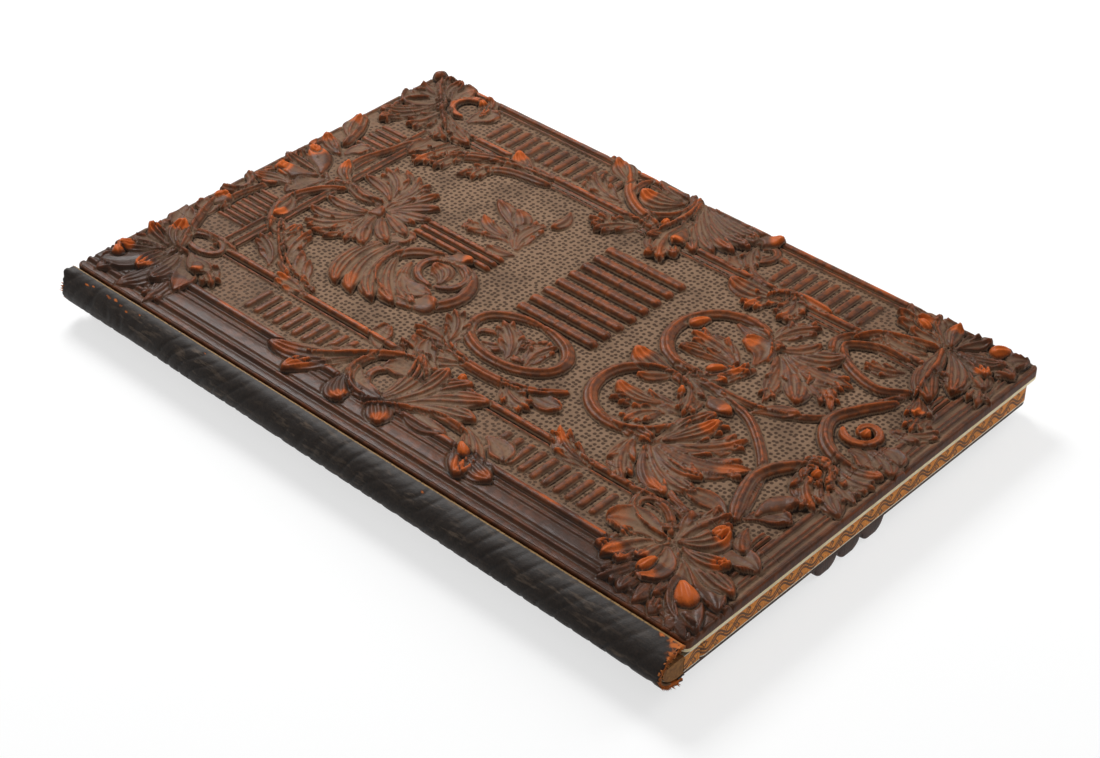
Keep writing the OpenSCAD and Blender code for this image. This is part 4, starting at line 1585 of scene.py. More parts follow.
    # upper right of the field
    (168, 262, 147, 265, -2, 7, 1.2, R, 0.1, 2), (169, 268, 144, 273, -3, 8, 1.4, R, 0.5, 2),
    (171, 274, 148, 281, -2, 7, 1.5, C), (170, 246, 152, 247, -3, 7, 0.9, R, 0, 2),
    (176, 268, 166, 284, -2, 8, 1.6, R, 0.2, 2),
    # top left corner
    (33, 290, 1, 278, 3, 9, 1.4, R, 0, 2), (33, 294, 1.5, 295, 3, 9, 1.4), (33, 297, 3, 309, -2, 9, 1.6),
    (32, 292, 12, 287, 2, 8, 2.2, R, 0.1), (33, 291, 14, 275, 3, 8, 2.2, C, 0.3),
    (33, 297, 14, 296, -3, 8, 2.6, R, 0.7), (33, 300, 9, 314, 3, 12, 2.2, C, 0),
    (31, 301, 18, 314.5, -2, 7, 3.2, R, 0.8), (33, 302, 28, 316, 1, 6, 2.4, C),
    (34, 302, 36.5, 316.5, -1, 7, 3.4, R, 0.6), (35, 302, 43, 316, -1, 7, 2.6, C),
    (36, 299, 49, 308, 2, 9, 3, R, 0.9), (35, 289, 26, 266, 2, 8, 2, R, 0.2, 2),
    (33, 287, 27, 278, 2, 6, 2.4, B, 0.5), (36, 290, 33, 274, -2, 7, 1.8, C),
    (46, 304, 58, 316, 3, 9, 2.2, C, 0.1), (60, 308, 66, 316.5, -1, 9, 2.4, C),
    (66, 312, 74, 312, -1, 7, 2.8, B, 0.8),
    # head middle
    (111, 292, 110.5, 316.5, 0, 14, 3, R, 0.1, 2), (110, 296, 103, 313, 2, 8, 3, B, 0.9),
    (112, 296, 122, 313, -2, 8, 3, B, 0.9), (109, 292, 92, 296, -2, 7, 1.4, C),
    (92, 292, 76, 286, 2, 6, 2.2, R, 0.9), (116, 284, 126, 293, 2, 5, 2, R, 0.9),
    (128, 302, 134, 316, 1, 7, 2.4, R, 0.5), (98, 300, 90, 314, -2, 8, 2.2, R, 0.3),
    (130, 300, 139, 294, 2, 6, 1.4, C), (140, 308, 155, 316, 2, 6, 2.4, R, 0.6),
    # top right corner
    (186, 296, 163, 298, 3, 9, 1.8, R, 0.2, 2), (184, 298, 158, 309, -3, 8, 2),
    (187, 300, 164, 315, 3, 8, 2.2), (187, 301, 185, 317, 3, 12, 3, C, 0.1),
    (190, 303, 192, 316, 1, 6, 2.8), (196, 306, 204, 310, 0, 7, 2.4),
    (192, 300, 204, 302, 2, 8, 2.8, R, 0.3), (192, 297, 204, 294, 2, 9, 3, C, 0.3),
    (184, 292, 166, 276, -3, 9, 1.8, R, 0, 2), (182, 290, 170, 266, -2, 7, 1.6),
    (190, 281, 203, 286, -2, 7, 2.2, R, 0.3), (184, 280, 196, 272, 2, 8, 1.8, C),
))

FRONT_BULBS = placed(Bulb, 1, (
    (17.5, 15.5, 14, 8.5, 52, 3), (20.5, 35, 10, 5, -8, 2.5, 0.9), (50, 26.5, 7.5, 6, -30, 2.9),
    (37.5, 15, 4.5, 4.5, 0, 2.7, 0.8), (201.3, 15.5, 9, 7, -50, 3), (196, 47, 8, 4.5, 75, 3, 0.9),
    (97, 22, 5, 4, -10, 2.4, 0.9), (51.5, 153, 4.5, 4, 0, 1.8, 0.9), (21.5, 123.5, 9, 4.5, 55, 2.4, 0.9),
    (127.5, 23, 5, 4, 0, 2.2, 0.8), (202, 315, 6.5, 6, 0, 3.1, 0.05, 0), (17, 312.5, 7, 5, 60, 3, 0.7),
    (104, 311, 7, 6, 0, 3, 0.9), (122, 311, 8, 4, 80, 2.9, 0.9), (72, 313, 7, 4.5, -55, 2.7, 0.9),
    (140, 112, 10, 5, -30, 1.5, 0.8), (121, 88, 9, 4, -45, 1.8, 0.9), (102, 89, 5, 3, 30, 1.7, 0.9),
    (198, 285, 5, 4, 70, 2.5, 0.8), (182, 165.5, 5, 4, 0, 2.4, 0.8),
))

FRONT_BARS = placed(Bars, 2, (
    (26.5, 64, 41.5, 121, 10, False, 0.35, 0.6), (26.5, 196, 41.5, 250, 10, False, 0.35, 0.6),
    (179, 64, 196, 112, 9, False, 0.35, 0.6), (180, 196, 196, 268, 13, False, 0.35, 0.6),
    (62, 289, 88, 306, 8, True, 0.35, 0.6), (138, 289, 158, 305, 5, True, 0.35, 0.6),
    (46, 10.5, 61, 17.5, 3, False, 0.1, 0.6), (152, 10.5, 166, 17.5, 3, False, 0.1, 0.6),
    (97, 130, 156, 171.5, 8, True, 0.8, 0.64), (107.5, 195, 119.5, 238, 3, True, 0.6, 0.7),
))


def fan(centre: Point, first: float, last: float, count: int, length: float, width: float,
        height: float) -> list[Leaf]:
    """Spreads lobed leaves round a point.

    Args:
        centre: Where the leaves meet.
        first: Angle of the first leaf in degrees.
        last: Angle of the last.
        count: How many.
        length: Length of a leaf.
        width: Width of a leaf.
        height: Height of a leaf.

    Returns:
        The leaves.
    """
    leaves = []
    for k, angle in enumerate(np.radians(np.linspace(first, last, count))):
        way = np.array([math.cos(angle), math.sin(angle)])
        base = np.array(centre) + way * 2.5
        tip = np.array(centre) + way * length * (1.0 if k % 2 else 0.93)
        leaves.append(Leaf(tuple(base), tuple(tip), 1.5 if k % 2 else -1.5, width, height, R, 0.25, 2))
    return leaves


# ---------------- front cover


@dataclass
class FrontCover:
    """The embossed front cover.

    Drops are depths under the rim, and the turn runs from the outer grid line to the board's edge. Pieces have
    low u, high u, low v and high v; ridges have place, half width and height, and grooves have a depth; rubbed
    stretches have u, low v, high v and wear, and dark patches have u, v, reach and strength.
    """

    step: float = 0.42
    inset: float = 0.9
    field_drop: float = 1.3
    panel_drop: float = 0.8
    rail_drop: float = 0.35
    joint_slope: float = 0.28
    turn: float = 0.5
    lip: float = 1.05
    pieces: tuple = (("spine_rail", -0.1, 51.5, -0.1, 318), ("fore_rail", 172.5, 318, -0.1, 318),
                     ("head_rail", 51.5, 172.5, 281, 318), ("tail_rail", 51.5, 172.5, -0.1, 13),
                     ("field_tail", 51.5, 172.5, 13, 150), ("field_head", 51.5, 172.5, 150, 281))
    spine_ridges: tuple = ((2.2, 1.9, 0.2), (6.7, 0.9, 0.45), (12.0, 2.6, -0.05), (15.8, 0.8, 0.3),
                           (18.3, 0.6, 0.2), (21.2, 1.8, 1.2))
    spine_grooves: tuple = ((4.8, 0.8, -0.8), (8.7, 0.9, -0.7), (17.2, 0.6, -0.5), (19.2, 0.5, -0.5),
                            (23.6, 0.7, -0.9))
    tail_ridges: tuple = ((1.2, 1.2, 0.0), (4.4, 0.7, 0.25), (6.3, 0.6, 0.1), (10.4, 0.8, 0.1))
    fore_ridges: tuple = ((202.4, 1.7, 1.2), (199.6, 0.6, 0.3))
    rail_ridges: tuple = ((47.6, 1.6, 1.15), (44.3, 0.6, 0.1), (176.0, 1.7, 1.15), (170.8, 0.6, -0.2),
                          (172.8, 0.6, 0.1))
    head_ridges: tuple = ((281.6, 0.7, 0.3), (283.4, 0.8, 0.8), (288.2, 0.8, 0.4))
    rail_grooves: tuple = ((45.6, 0.6), (174.2, 0.5))
    rubbed: tuple = ((21.6, 55, 262, 0.42), (202.8, 60, 318, 0.5), (48.0, 60, 95, 0.6),
                     (48.0, 190, 240, 0.5), (176.4, 60, 270, 0.45))
    darkened: tuple = ((14, 300, 34, 0.95), (50, 306, 22, 0.6), (100, 302, 34, 0.4), (188, 300, 30, 0.6),
                       (198, 12, 26, 0.75), (170, 6, 26, 0.6), (120, 4, 22, 0.45), (60, 6, 26, 0.55),
                       (6, 6, 17, 0.8), (3, 100, 14, 0.5), (6, 200, 16, 0.6), (14, 60, 12, 0.35),
                       (196, 140, 22, 0.45), (200, 230, 14, 0.45), (8, 150, 13, 0.5), (18, 250, 14, 0.5))

    def relief(self) -> Plate:
        """Embosses the whole plate.

        Returns:
            The plate.
        """
        plate = Plate(BOARD_W, BOARD_H, self.step, self.inset)
        u, v = plate.U, plate.V
        field_ = (u > 50) & (u < 173.5) & (v > 12) & (v < 281)
        ground = np.where(field_, -self.field_drop, -self.panel_drop)
        ground = np.where((u < 23) | (v < 9.5), -self.rail_drop, ground)
        ground = np.where((u > 203.2) | (v > 316.0), -0.1, ground)
        plate.floor = box_blur(ground, round(1.6 / self.step))
        plate.h = ground.copy()
        self.mouldings(plate)
        for place, first, last, amount in self.rubbed:
            along = amount * (0.55 + 0.9 * drift(v / 9, u / 30, 34)) * ((v > first) & (v < last))
            plate.wear = np.maximum(plate.wear, along * np.exp(-((u - place) / 1.1) ** 2))
        plate.emboss([*FRONT_BARS, *FRONT_STEMS, *FRONT_LEAVES, *FRONT_BULBS])
        plate.h = np.minimum(plate.h, np.maximum(0.3, self.joint_slope * u))
        plate.h = plate.h + drift(u / 3.1, v / 3.1, 8) * 0.07
        return plate

    def mouldings(self, plate: Plate) -> None:
        """Runs the mouldings along the edges of the plate.

        Args:
            plate: The plate.
        """
        u, v = plate.U, plate.V
        every, tail = np.ones_like(u, bool), (u > 24) & (v < 11.4)
        rails, across = (v > 13) & (v < 288), (u > 46) & (u < 177)
        for place, half, height in self.spine_ridges:
            plate.ridge(u, place, half, height, -self.rail_drop, every)
        for place, half, depth in self.spine_grooves:
            plate.groove(u, place, half, depth, every)
        plate.h = np.where(tail, np.where((v > 7) & (v < 9.8), -1.0, -0.6), plate.h)
        for along, ridges, base, where in ((v, self.tail_ridges, -0.6, tail),
                                           (u, self.fore_ridges, -self.panel_drop, v > 12),
                                           (u, self.rail_ridges, -self.panel_drop, rails)):
            for place, half, height in ridges:
                plate.ridge(along, place, half, height, base, where)
        for place, half in self.rail_grooves:
            plate.groove(u, place, half, -1.1, rails)
        for place, half, height in self.head_ridges:
            plate.ridge(v, place, half, height, -0.9, across)
        plate.groove(v, 286.0, 1.3, -1.0, across)

    def paint(self, plate: Plate) -> Array:
        """Gives wear, hollow, ground and darkness for each grid point.

        Args:
            plate: The embossed plate.

        Returns:
            The four, on the grid.
        """
        u, v = plate.U, plate.V
        panel = (u > 24.5) & (u < 200) & (v > 12) & (v < 309)
        ground = np.clip(np.where(plate.motif > 0.85, 0, 1 - 0.8 * plate.motif) * panel, 0, 1)
        ground = ground * (plate.h < -0.45) * np.where((u > 50) & (u < 173.5) & (v < 281), 1.0, 0.8)
        dark = np.zeros_like(u)
        for cu, cv, reach, amount in self.darkened:
            dark = np.maximum(dark, amount * np.exp(-((u - cu) ** 2 + (v - cv) ** 2) / reach ** 2))
        rail = np.maximum((u < 9) * 0.9, np.maximum((u < 23) * 0.75, (v < 11) * 0.45 * (v > 3)))
        dark = np.clip(np.maximum(dark, rail) * (0.8 + 0.35 * drift(u / 11, v / 17, 21)), 0, 1)
        # hollow sets dust in shallow hollows and painted shade in the deepest hollows
        hollow = plate.hollow()
        rubbed = np.clip(drift(u / 13, v / 13, 33) * 1.2 + 0.30 + 0.35 * np.exp(-(v / 110) ** 2), 0, 1)
        crest = np.clip((hollow - 0.545) * 9, 0, 1) * rubbed
        crest = crest * (0.5 - 0.32 * smooth_step(80, 230, v)) * (1 - dark)
        wear = np.clip(np.maximum(plate.wear, crest), 0, 1)
        frame_panel = ((u > 24) & (u < 46)) | ((u > 178) & (u < 200))
        veil = 0.12 + 0.36 * smooth_step(70, 290, v) + 0.30 * frame_panel + 0.30 * (v < 12) * (u > 45)
        valley = 1 - smooth_step(0.488, 0.525, hollow)
        veil = (veil + 0.2 * drift(u / 14, v / 14, 35)) * (u > 23.5) * (0.12 + 1.3 * valley) * (1 - 0.8 * wear)
        ground = np.maximum(ground, np.clip(veil, 0, 0.7))
        return np.dstack([wear, hollow, ground, dark * (1 - 0.35 * ground)])

    def edge_turn(self, plate: Plate) -> Shape:
        """Turns the leather down over the board's edges.

        Args:
            plate: The embossed plate.

        Returns:
            The turned edge.
        """
        points, ways, h = plate.rim()
        top, low = SIZES.rim + h, SIZES.board_low
        along = np.cumsum(np.hypot(*(points - np.roll(points, 1, axis=0)).T))
        worn = drift(along / 5, along * 0, 5) * 0.06
        out = self.inset - 0.04
        profile = [(0.0, top), (0.3, top - 0.05), (0.6, top - 0.25), (0.8 + worn, top - 0.62),
                   (out + worn, top - 1.2), (out + worn, SIZES.rim - 2.6), (out + worn * 0.5, low + 1.4),
                   (0.78, low + 1.0), (0.66, low + self.lip), (self.turn, low + self.lip),
                   (self.turn, SIZES.board_top), (0.0, SIZES.board_top)]
        paint = np.zeros((len(profile), len(points), 4))
        paint[..., 1], paint[..., 3] = 0.5, 0.45
        rub = np.clip(0.45 + drift(along / 9, along * 0 + 4, 6) * 0.7, 0, 1)
        for k, share in ((1, 0.35), (2, 0.6), (3, 0.5), (7, 0.35), (8, 0.4)):
            paint[k, :, 0] = rub * share * 0.5
        return ring_shape(points, ways, profile, paint)

    def build(self) -> None:
        """Makes the leather, its turned edge, the lining and its tooled teeth."""
        plate = self.relief()
        paint = self.paint(plate)
        parts = {f"front_{name}": ends for name, *ends in self.pieces}
        shells = plate.shells(parts, SIZES.board_top, SIZES.rim, paint, True)
        shells["front_edge_turn"] = self.edge_turn(plate)
        fit = Fit("front_cover", "embossed_leather", ("front_leather",))
        for name, shell in shells.items():
            fit_piece(shell.piece(name, [FRONT_LEATHER]), fit)
        fit_piece(self.cream_lip(plate).piece("front_cream_lip", [CREAM_CARD]), Fit("front_cover", "lining_card"))
        self.lining()

    def cream_lip(self, plate: Plate) -> Shape:
        """Makes the cream lip that shows under the turned edge.

        Args:
            plate: The embossed plate.

        Returns:
            The lip.
        """
        points, ways, _ = plate.rim()
        profile = [(out, SIZES.board_low + z) for out, z in (
            (0.5, self.lip), (0.62, self.lip), (0.84, self.lip - 0.1), (0.84, 0.12), (0.72, 0.0), (0.5, 0.0))]
        return ring_shape(points, ways, profile, np.zeros((len(profile), len(points), 4)))

    def lining(self) -> None:
        """Makes the cream lining with a row of tooled teeth along its edge."""
        low, high = SIZES.plan("front_lining")
        card = card_shape(low, high, CORNER_R - 0.4, 0.12)
        fit_piece(card.piece("front_lining_card", [CREAM_CARD, CREAM_CARD]),
                  Fit("front_cover", "lining_card", ("front_lining",)))
        rim = card_shape(np.array([low[0] + 0.06, low[1] + 0.06, high[2] - 0.15]),
                         high - np.array([0.06, 0.06, 0.05]), CORNER_R - 0.4, 0.04)
        row = 4 * CORNER_POINTS
        teeth = row_along("front_lining_teeth", rim.points[2 * row:3 * row], True, 1.5, (0.52, 0.16, 0.19), TEETH)
        fit_piece(teeth, Fit("front_cover", "lining_card"))
        redress("front_board", GREYBOARD)


# ---------------- back cover


@dataclass
class BackCover:
    """The back cover, which stands on its lobes and its medallion.

    Fans have centre, first and last angle, leaves, length, width and depth; rings have a winding line, width
    and depth; ridges have distance from the edge, half width and depth; lobes have a place u.
    """

    step: float = 0.66
    inset: float = 0.9
    depth: float = 4.95
    fans: tuple = (((30, 30), 100, 350, 7, 27, 9, 3.2), ((172, 30), -170, 80, 7, 27, 9, 3.2),
                   ((30, 283), 10, 260, 7, 27, 9, 3.2), ((172, 283), -80, 170, 7, 27, 9, 3.2),
                   ((18, 157), 110, 250, 5, 17, 8, 4.4), ((184, 157), -70, 70, 5, 17, 8, 4.4),
                   ((101, 157), 0, 337.5, 16, 47, 8, 3.6), ((30, 95), 60, 120, 3, 26, 7, 2.4),
                   ((172, 95), 60, 120, 3, 26, 7, 2.4), ((30, 219), -120, -60, 3, 26, 7, 2.4),
                   ((172, 219), -120, -60, 3, 26, 7, 2.4),
                   ((101, 70), 0, 315, 8, 20, 7, 2.2), ((101, 244), 0, 315, 8, 20, 7, 2.2))
    rings: tuple = (((101, 157, 50, 50, 0, 360), 4.0, 1.6), ((101, 70, 38, 22, 0, 360), 3.6, 1.4),
                    ((101, 244, 38, 22, 0, 360), 3.6, 1.4))
    ridges: tuple = ((3.0, 1.6, 0.5), (14.0, 1.2, 0.9), (17.0, 2.0, 1.4), (52.0, 1.3, 0.7))
    lobe_places: tuple = (78.5, 92.0, 105.5)

    def relief(self) -> Plate:
        """Embosses the plate, with depths under the ground as heights.

        Returns:
            The plate.
        """
        low, high = span("back_leather")
        plate = Plate(float(high[0] - low[0]), float(high[1] - low[1]), self.step, self.inset)
        u, v = plate.U, plate.V
        width, height = plate.size
        edge = np.minimum(np.minimum(u, width - u), np.minimum(v, height - v))
        for place, half, tall in self.ridges:
            plate.ridge(edge, place, half, tall, 0.0, np.ones_like(u, bool))
        plate.emboss(coil(line, wide, tall, 2, 0.2) for line, wide, tall in self.rings)
        for spray in self.fans:
            plate.emboss(fan(*spray))
        plate.emboss(Bulb((place, end), 25, 12.8, 90, 5.3, 0.35, 0.0)
                     for end in (1.8, height - 1.8) for place in self.lobe_places)
        clear = np.hypot(u - width / 2, v - height / 2)
        plate.h = plate.h * smooth_step(23.0, 27.0, clear)
        plate.h = np.clip(plate.h + drift(u / 7, v / 7, 12) * 0.06, 0, self.depth)
        row = np.floor(v / 3.0)
        off_u = ((u / 3.2 + 0.5 * row) % 1.0 - 0.5) * 3.2
        off_v = (v / 3.0 % 1.0 - 0.5) * 3.0
        inner = (edge > 54) | ((edge > 19) & (edge < 50))
        plate.h = plate.h + 0.2 * smooth_step(1.1, 0.5, np.hypot(off_u, off_v)) * (plate.motif < 0.3) * inner
        plate.open = (1 - plate.motif) * inner
        return plate

    def edge_turn(self, plate: Plate) -> Shape:
        """Turns the leather up over the board's edges.

        Args:
            plate: The embossed plate.

        Returns:
            The turned edge.
        """
        points, ways, h = plate.rim()
        top, mid, low = span("back_board")[1][2], span("back_leather")[1][2], SIZES.ground - h
        out = self.inset - 0.04
        profile = [(0.0, mid), (0.5, mid), (0.5, top), (0.62, top), (0.82, top - 0.2), (out, top - 0.7),
                   (out, mid), (out, low + 0.5), (0.75, low + 0.2), (0.4, low + 0.04), (0.0, low)]
        paint = np.zeros((len(profile), len(points), 4))
        paint[..., 1], paint[..., 3] = 0.5, 0.6
        return ring_shape(points, ways, profile, paint)

    def build(self) -> None:
        """Makes the leather, its turned edge and the gadroons of the medallion."""
        plate = self.relief()
        # hollow sets dust in shallow hollows and painted shade in the deepest hollows
        hollow = plate.hollow()
        crest = np.clip((hollow - 0.57) * 5, 0, 1) * np.clip(drift(plate.U / 12, plate.V / 12, 40) + 0.2, 0, 1)
        wear = np.maximum(plate.wear, crest * 0.5) * 0.7
        dark = 0.45 + 0.3 * drift(plate.U / 15, plate.V / 15, 41)
        paint = np.dstack([wear, hollow, plate.open * (plate.h < 0.4), np.clip(dark, 0, 1)])
        far = max(plate.size)
        parts = {"back_leather_tail": (-1.0, far, -1.0, 157.0), "back_leather_head": (-1.0, far, 157.0, far)}
        low, high = SIZES.plan("back_leather")
        fit = Fit("back_cover", "back_embossed_leather", ("back_leather",))
        shells = plate.shells(parts, float(high[2]), SIZES.ground, paint, False)
        shells["back_edge_turn"] = self.edge_turn(plate)
        for name, shell in shells.items():
            shell.points = shell.points + np.array([*low[:2], 0.0])
            fit_piece(shell.piece(name, [BACK_LEATHER]), fit)
        low, high = SIZES.plan("back_medallion")
        centre = (low + high)[:2] / 2
        radius = (high[0] - low[0]) / 2
        angles = np.radians(np.arange(0, 360, 3))
        path = np.column_stack([centre[0] + radius * np.cos(angles), centre[1] + radius * np.sin(angles),
                                np.full(len(angles), high[2] * 0.52)])
        beads = row_along("back_medallion_gadroons", path, True, 3.4, (1.3, 0.9, 2.3), BACK_BEAD)
        fit_piece(beads, Fit("back_cover", "back_embossed_leather"))
        for node, finish in (("back_medallion", BACK_BEAD), ("back_board", GREYBOARD),
                             ("back_pastedown", ENDPAPER)):
            redress(node, finish)


# ---------------- spine


@dataclass
class Spine:
    """The round leather spine with its worn ends; a scuff has place v, angle, reach and strength."""

    leather: float = 1.2
    steps: int = 72
    pitch: float = 0.8
    radius: float = 11.0
    scuffs: tuple = ((305, 60, 0.9, 1.0), (302, 66, 0.8, 0.8), (292, 62, 1.2, 1.0), (288, 66, 0.9, 1.0),
                     (284, 61, 0.9, 0.9), (280, 55, 0.6, 0.9), (274, 67, 0.7, 1.0), (118, 72, 0.7, 0.8),
                     (312, 78, 1.0, 0.7), (236, 74, 0.6, 0.6), (2, 84, 3.0, 1.0), (1, 60, 1.8, 0.9),
                     (0, 30, 1.6, 0.8), (0, -10, 1.5, 0.8), (0, -60, 1.5, 0.8), (9, 86, 1.2, 0.8))

    def section(self, v: Array, angle: Array, inside: float) -> tuple[Array, Array]:
        """Gives u and z on the half-round, a distance inside its outer face."""
        depth = SPINE_DEPTH_TAIL + (SPINE_DEPTH_HEAD - SPINE_DEPTH_TAIL) * np.clip(v / BOARD_H, 0, 1)
        u = -JOINT_GAP - (depth - JOINT_GAP - inside) * np.cos(angle)
        return u, SIZES.spine_z + (SIZES.spine_half - inside) * np.sin(angle)

    def creases(self, v: Array, angle: Array) -> Array:
        """Gives the depth of the slanting creases, from 0 to 1.

        Args:
            v: Places from the tail.
            angle: Angles round the spine.

        Returns:
            The depths.
        """
        slant = v + 5.0 * angle
        wave = np.cos(slant * (2 * np.pi / 7.5) + 5.0 * drift(v / 26, angle * 0.8, 51))
        fine = 1 - np.abs(drift(slant / 2.2 + 9, angle * 1.6, 52))
        deep = smooth_step(0.35, 1.0, wave) * (0.6 + 0.4 * drift(v / 9, angle, 53))
        return deep + smooth_step(0.75, 1.0, fine) * 0.3

    def shape(self) -> Shape:
        """Makes the leather with creases, a torn tab at the head and bare scuffs.

        Returns:
            The leather.
        """
        angle = np.radians(np.linspace(-90, 90, self.steps))
        count = round(BOARD_H / self.pitch)
        share, turn = np.meshgrid(np.linspace(0, 1, count), angle, indexing="ij")
        degrees = np.degrees(turn)
        tab = np.exp(-((degrees - 62) / 16) ** 2)
        ragged = np.abs(drift(degrees / 9, degrees * 0, 55))
        end = BOARD_H - 0.2 - 1.3 * ragged * (1 - tab) + 1.2 * tab
        start = 0.15 + 0.9 * np.abs(drift(degrees / 7, degrees * 0 + 3, 56))
        v = start + (end - start) * share
        lift = 0.9 * tab * smooth_step(311, 319, v)
        crease = self.creases(v, turn) * np.cos(turn) ** 0.3
        swell = drift(v / 30, turn * 1.5, 57) * 0.12 + 0.12
        out_u, out_z = self.section(v, turn, 0.42 * crease + swell - lift)
        in_u, in_z = self.section(v, turn, self.leather - lift)
        ring = np.hstack([np.dstack([out_u, v, out_z]), np.dstack([in_u, v, in_z])[:, ::-1]])
        rows, cols = ring.shape[:2]
        index = np.arange(rows * cols).reshape(rows, cols)
        after = np.roll(index, -1, axis=1)
        sides = np.column_stack([index[:-1].ravel(), index[1:].ravel(), after[1:].ravel(), after[:-1].ravel()])
        out_i, in_i = index[:, :self.steps], index[:, self.steps:][:, ::-1]
        caps = [np.column_stack([out_i[k, :-1], out_i[k, 1:], in_i[k, 1:], in_i[k, :-1]]) for k in (0, -1)]
        scuff, patchy = np.zeros_like(v), 0.7 + 0.6 * drift(v, degrees / 5, 58)
        for sv, sa, reach, amount in self.scuffs:
            away = np.hypot((v - sv) / 1.6, np.radians(degrees - sa) * self.radius)
            scuff = np.maximum(scuff, amount * np.exp(-(away / reach) ** 2) * patchy)
        cut = smooth_step(83.0, 87.5, np.abs(degrees))
        # rub also places the grey streaks, partly rubbed leather and partly painted sheen; crease also darkens
        # the creases as painted shade
        rub = np.clip(0.35 + 0.8 * drift(v / 16, turn * 2, 59) + smooth_step(-30, -75, degrees) * 0.4, 0, 1)
        paint = np.dstack([np.clip(scuff, 0, 1), cut, crease, rub])
        both = np.hstack([paint, np.broadcast_to([0.9, 0.0, 0.0, 0.0], paint.shape)]).reshape(-1, 4)
        faces = [(sides, 0, True), (caps[0], 0, False), (caps[1][:, ::-1], 0, False)]
        return Shape(ring.reshape(-1, 3), faces, both)

    def frays(self, at_tail: bool, first: float, last: float, count: int, seed: int) -> Shape:
        """Makes the torn fibres at an end of the leather.

        Args:
            at_tail: True at the tail, False at the head.
            first: First angle in degrees.
            last: Last angle.
            count: How many fibres.
            seed: Fixed seed.

        Returns:
            The fibres, each a closed sliver.
        """
        rng = np.random.default_rng(seed)
        way, edge = (-1, 0.8) if at_tail else (1, BOARD_H - 0.8)
        sides, base = np.array([[0, 1, 4], [1, 2, 4], [2, 3, 4], [3, 0, 4]]), np.array([[3, 2, 1, 0]])
        points, faces = [], []
        lows, highs = (first, 0.02, 0.1, 0.3, 0.5, -0.7, -0.06), (last, 0.055, 0.7, 0.5, 1.9, 0.5, 0.06)
        for k, (turn, wide, inside, thick, reach, lift, lean) in enumerate(rng.uniform(lows, highs, (count, 7))):
            for aside, depth, out in ((-wide, inside, -0.6), (wide, inside, -0.6), (wide, inside + thick, -0.6),
                                      (-wide, inside + thick, -0.6), (lean, inside - lift, reach)):
                u, z = self.section(np.array(edge), np.array(math.radians(turn) + aside), depth)
                points.append([float(u), edge + way * out, float(z)])
            faces += [(sides[:, ::-way] + 5 * k, 0, True), (base[:, ::-way] + 5 * k, 0, False)]
        return Shape(np.array(points), faces)

    def build(self) -> None:
        """Makes the leather, its frays, and dresses the layers behind it."""
        cover = self.shape().piece("spine_calf_cover", [SPINE_CALF])
        fit_piece(cover, Fit("spine", "spine_leather", ("spine_leather",)))
        for name, ends in (("tail", (True, -80, 92, 120, 61)), ("head", (False, -80, 90, 40, 62))):
            fit_piece(self.frays(*ends).piece(f"spine_{name}_frays", [SUEDE]), Fit("spine", "spine_leather"))
        for node, finish in (("spine_liner", LINER_CARD), ("sewing_tapes", TAPE_LINEN), ("mull", MULL_GAUZE),
                             ("guard_stubs", STUB_PAPER)):
            redress(node, finish)
        self.stitches()

    def stitches(self) -> None:
        """Sews thread over the tapes, down the middle of the stubs."""
        u = SIZES.plan("guard_stubs")[1][0] + 0.12
        low, high = SIZES.plan("sewing_tapes")
        path = np.array([[u, v, SIZES.spine_z - 1.3] for v in np.linspace(low[1] - 20, high[1] + 20, 12)])
        thread = row_along("sewing_thread", path, False, 8.0, (3.0, 0.16, 0.16), THREAD)
        fit_piece(thread, Fit("spine", "stub_edges"))


# ---------------- joints and leaves


def strip_shape(line: Array, v0: float, v1: float, thick: float) -> Shape:
    """Runs a flat strip from the tail to the head.

    Args:
        line: Rows of u and z across the strip, from low u to high u, at mid thickness.
        v0: Its tail end.
        v1: Its head end.
        thick: Its thickness.

    Returns:
        The strip, with finish 0 on its faces and 1 on its ends.
    """
    count = len(line)
    stations = np.linspace(v0, v1, 5)
    loop = np.vstack([line + [0, -thick / 2], (line + [0, thick / 2])[::-1]])
    points = np.vstack([np.column_stack([loop[:, 0], np.full(2 * count, v), loop[:, 1]]) for v in stations])
    size = 2 * count
    ring = np.arange(size)
    after = (ring + 1) % size
    starts = [(k * size, (k + 1) * size) for k in range(len(stations) - 1)]
    sides = np.vstack([np.column_stack([after + a, after + b, ring + b, ring + a]) for a, b in starts])
    quads = np.column_stack([np.arange(count - 1), np.arange(1, count),
                             size - 2 - np.arange(count - 1), size - 1 - np.arange(count - 1)])
    last = (len(stations) - 1) * size
    return Shape(points, [(sides, 0, True), (quads, 1, False), (quads[:, ::-1] + last, 1, False)])


@dataclass
class Joints:
    """The leather webs that hinge the covers to the spine."""

    thick: float = 0.55
    from_u: float = -2.6
    to_u: float = 0.45

    def build(self) -> None:
        """Makes both webs."""
        for side, node in (("front", "front_joint_leather"), ("back", "back_joint_leather")):
            low, high = span(node)
            z = float(low[2] + high[2]) / 2
            u = np.linspace(self.from_u, self.to_u, 22)
            dip = 0.25 * np.exp(-((u - JOINT_AXIS_U) / 0.5) ** 2)
            line = np.column_stack([u, z - dip * (1 if side == "front" else -1)])
            strip = strip_shape(line, 0.8, BOARD_H - 0.8, self.thick)
            web = strip.piece(f"{side}_joint_web", [JOINT_CALF, JOINT_CALF])
            bend_piece(web, Fit("spine", "joint_leather", (node,)), f"{side}_cover", -1.6, 0.1, z)


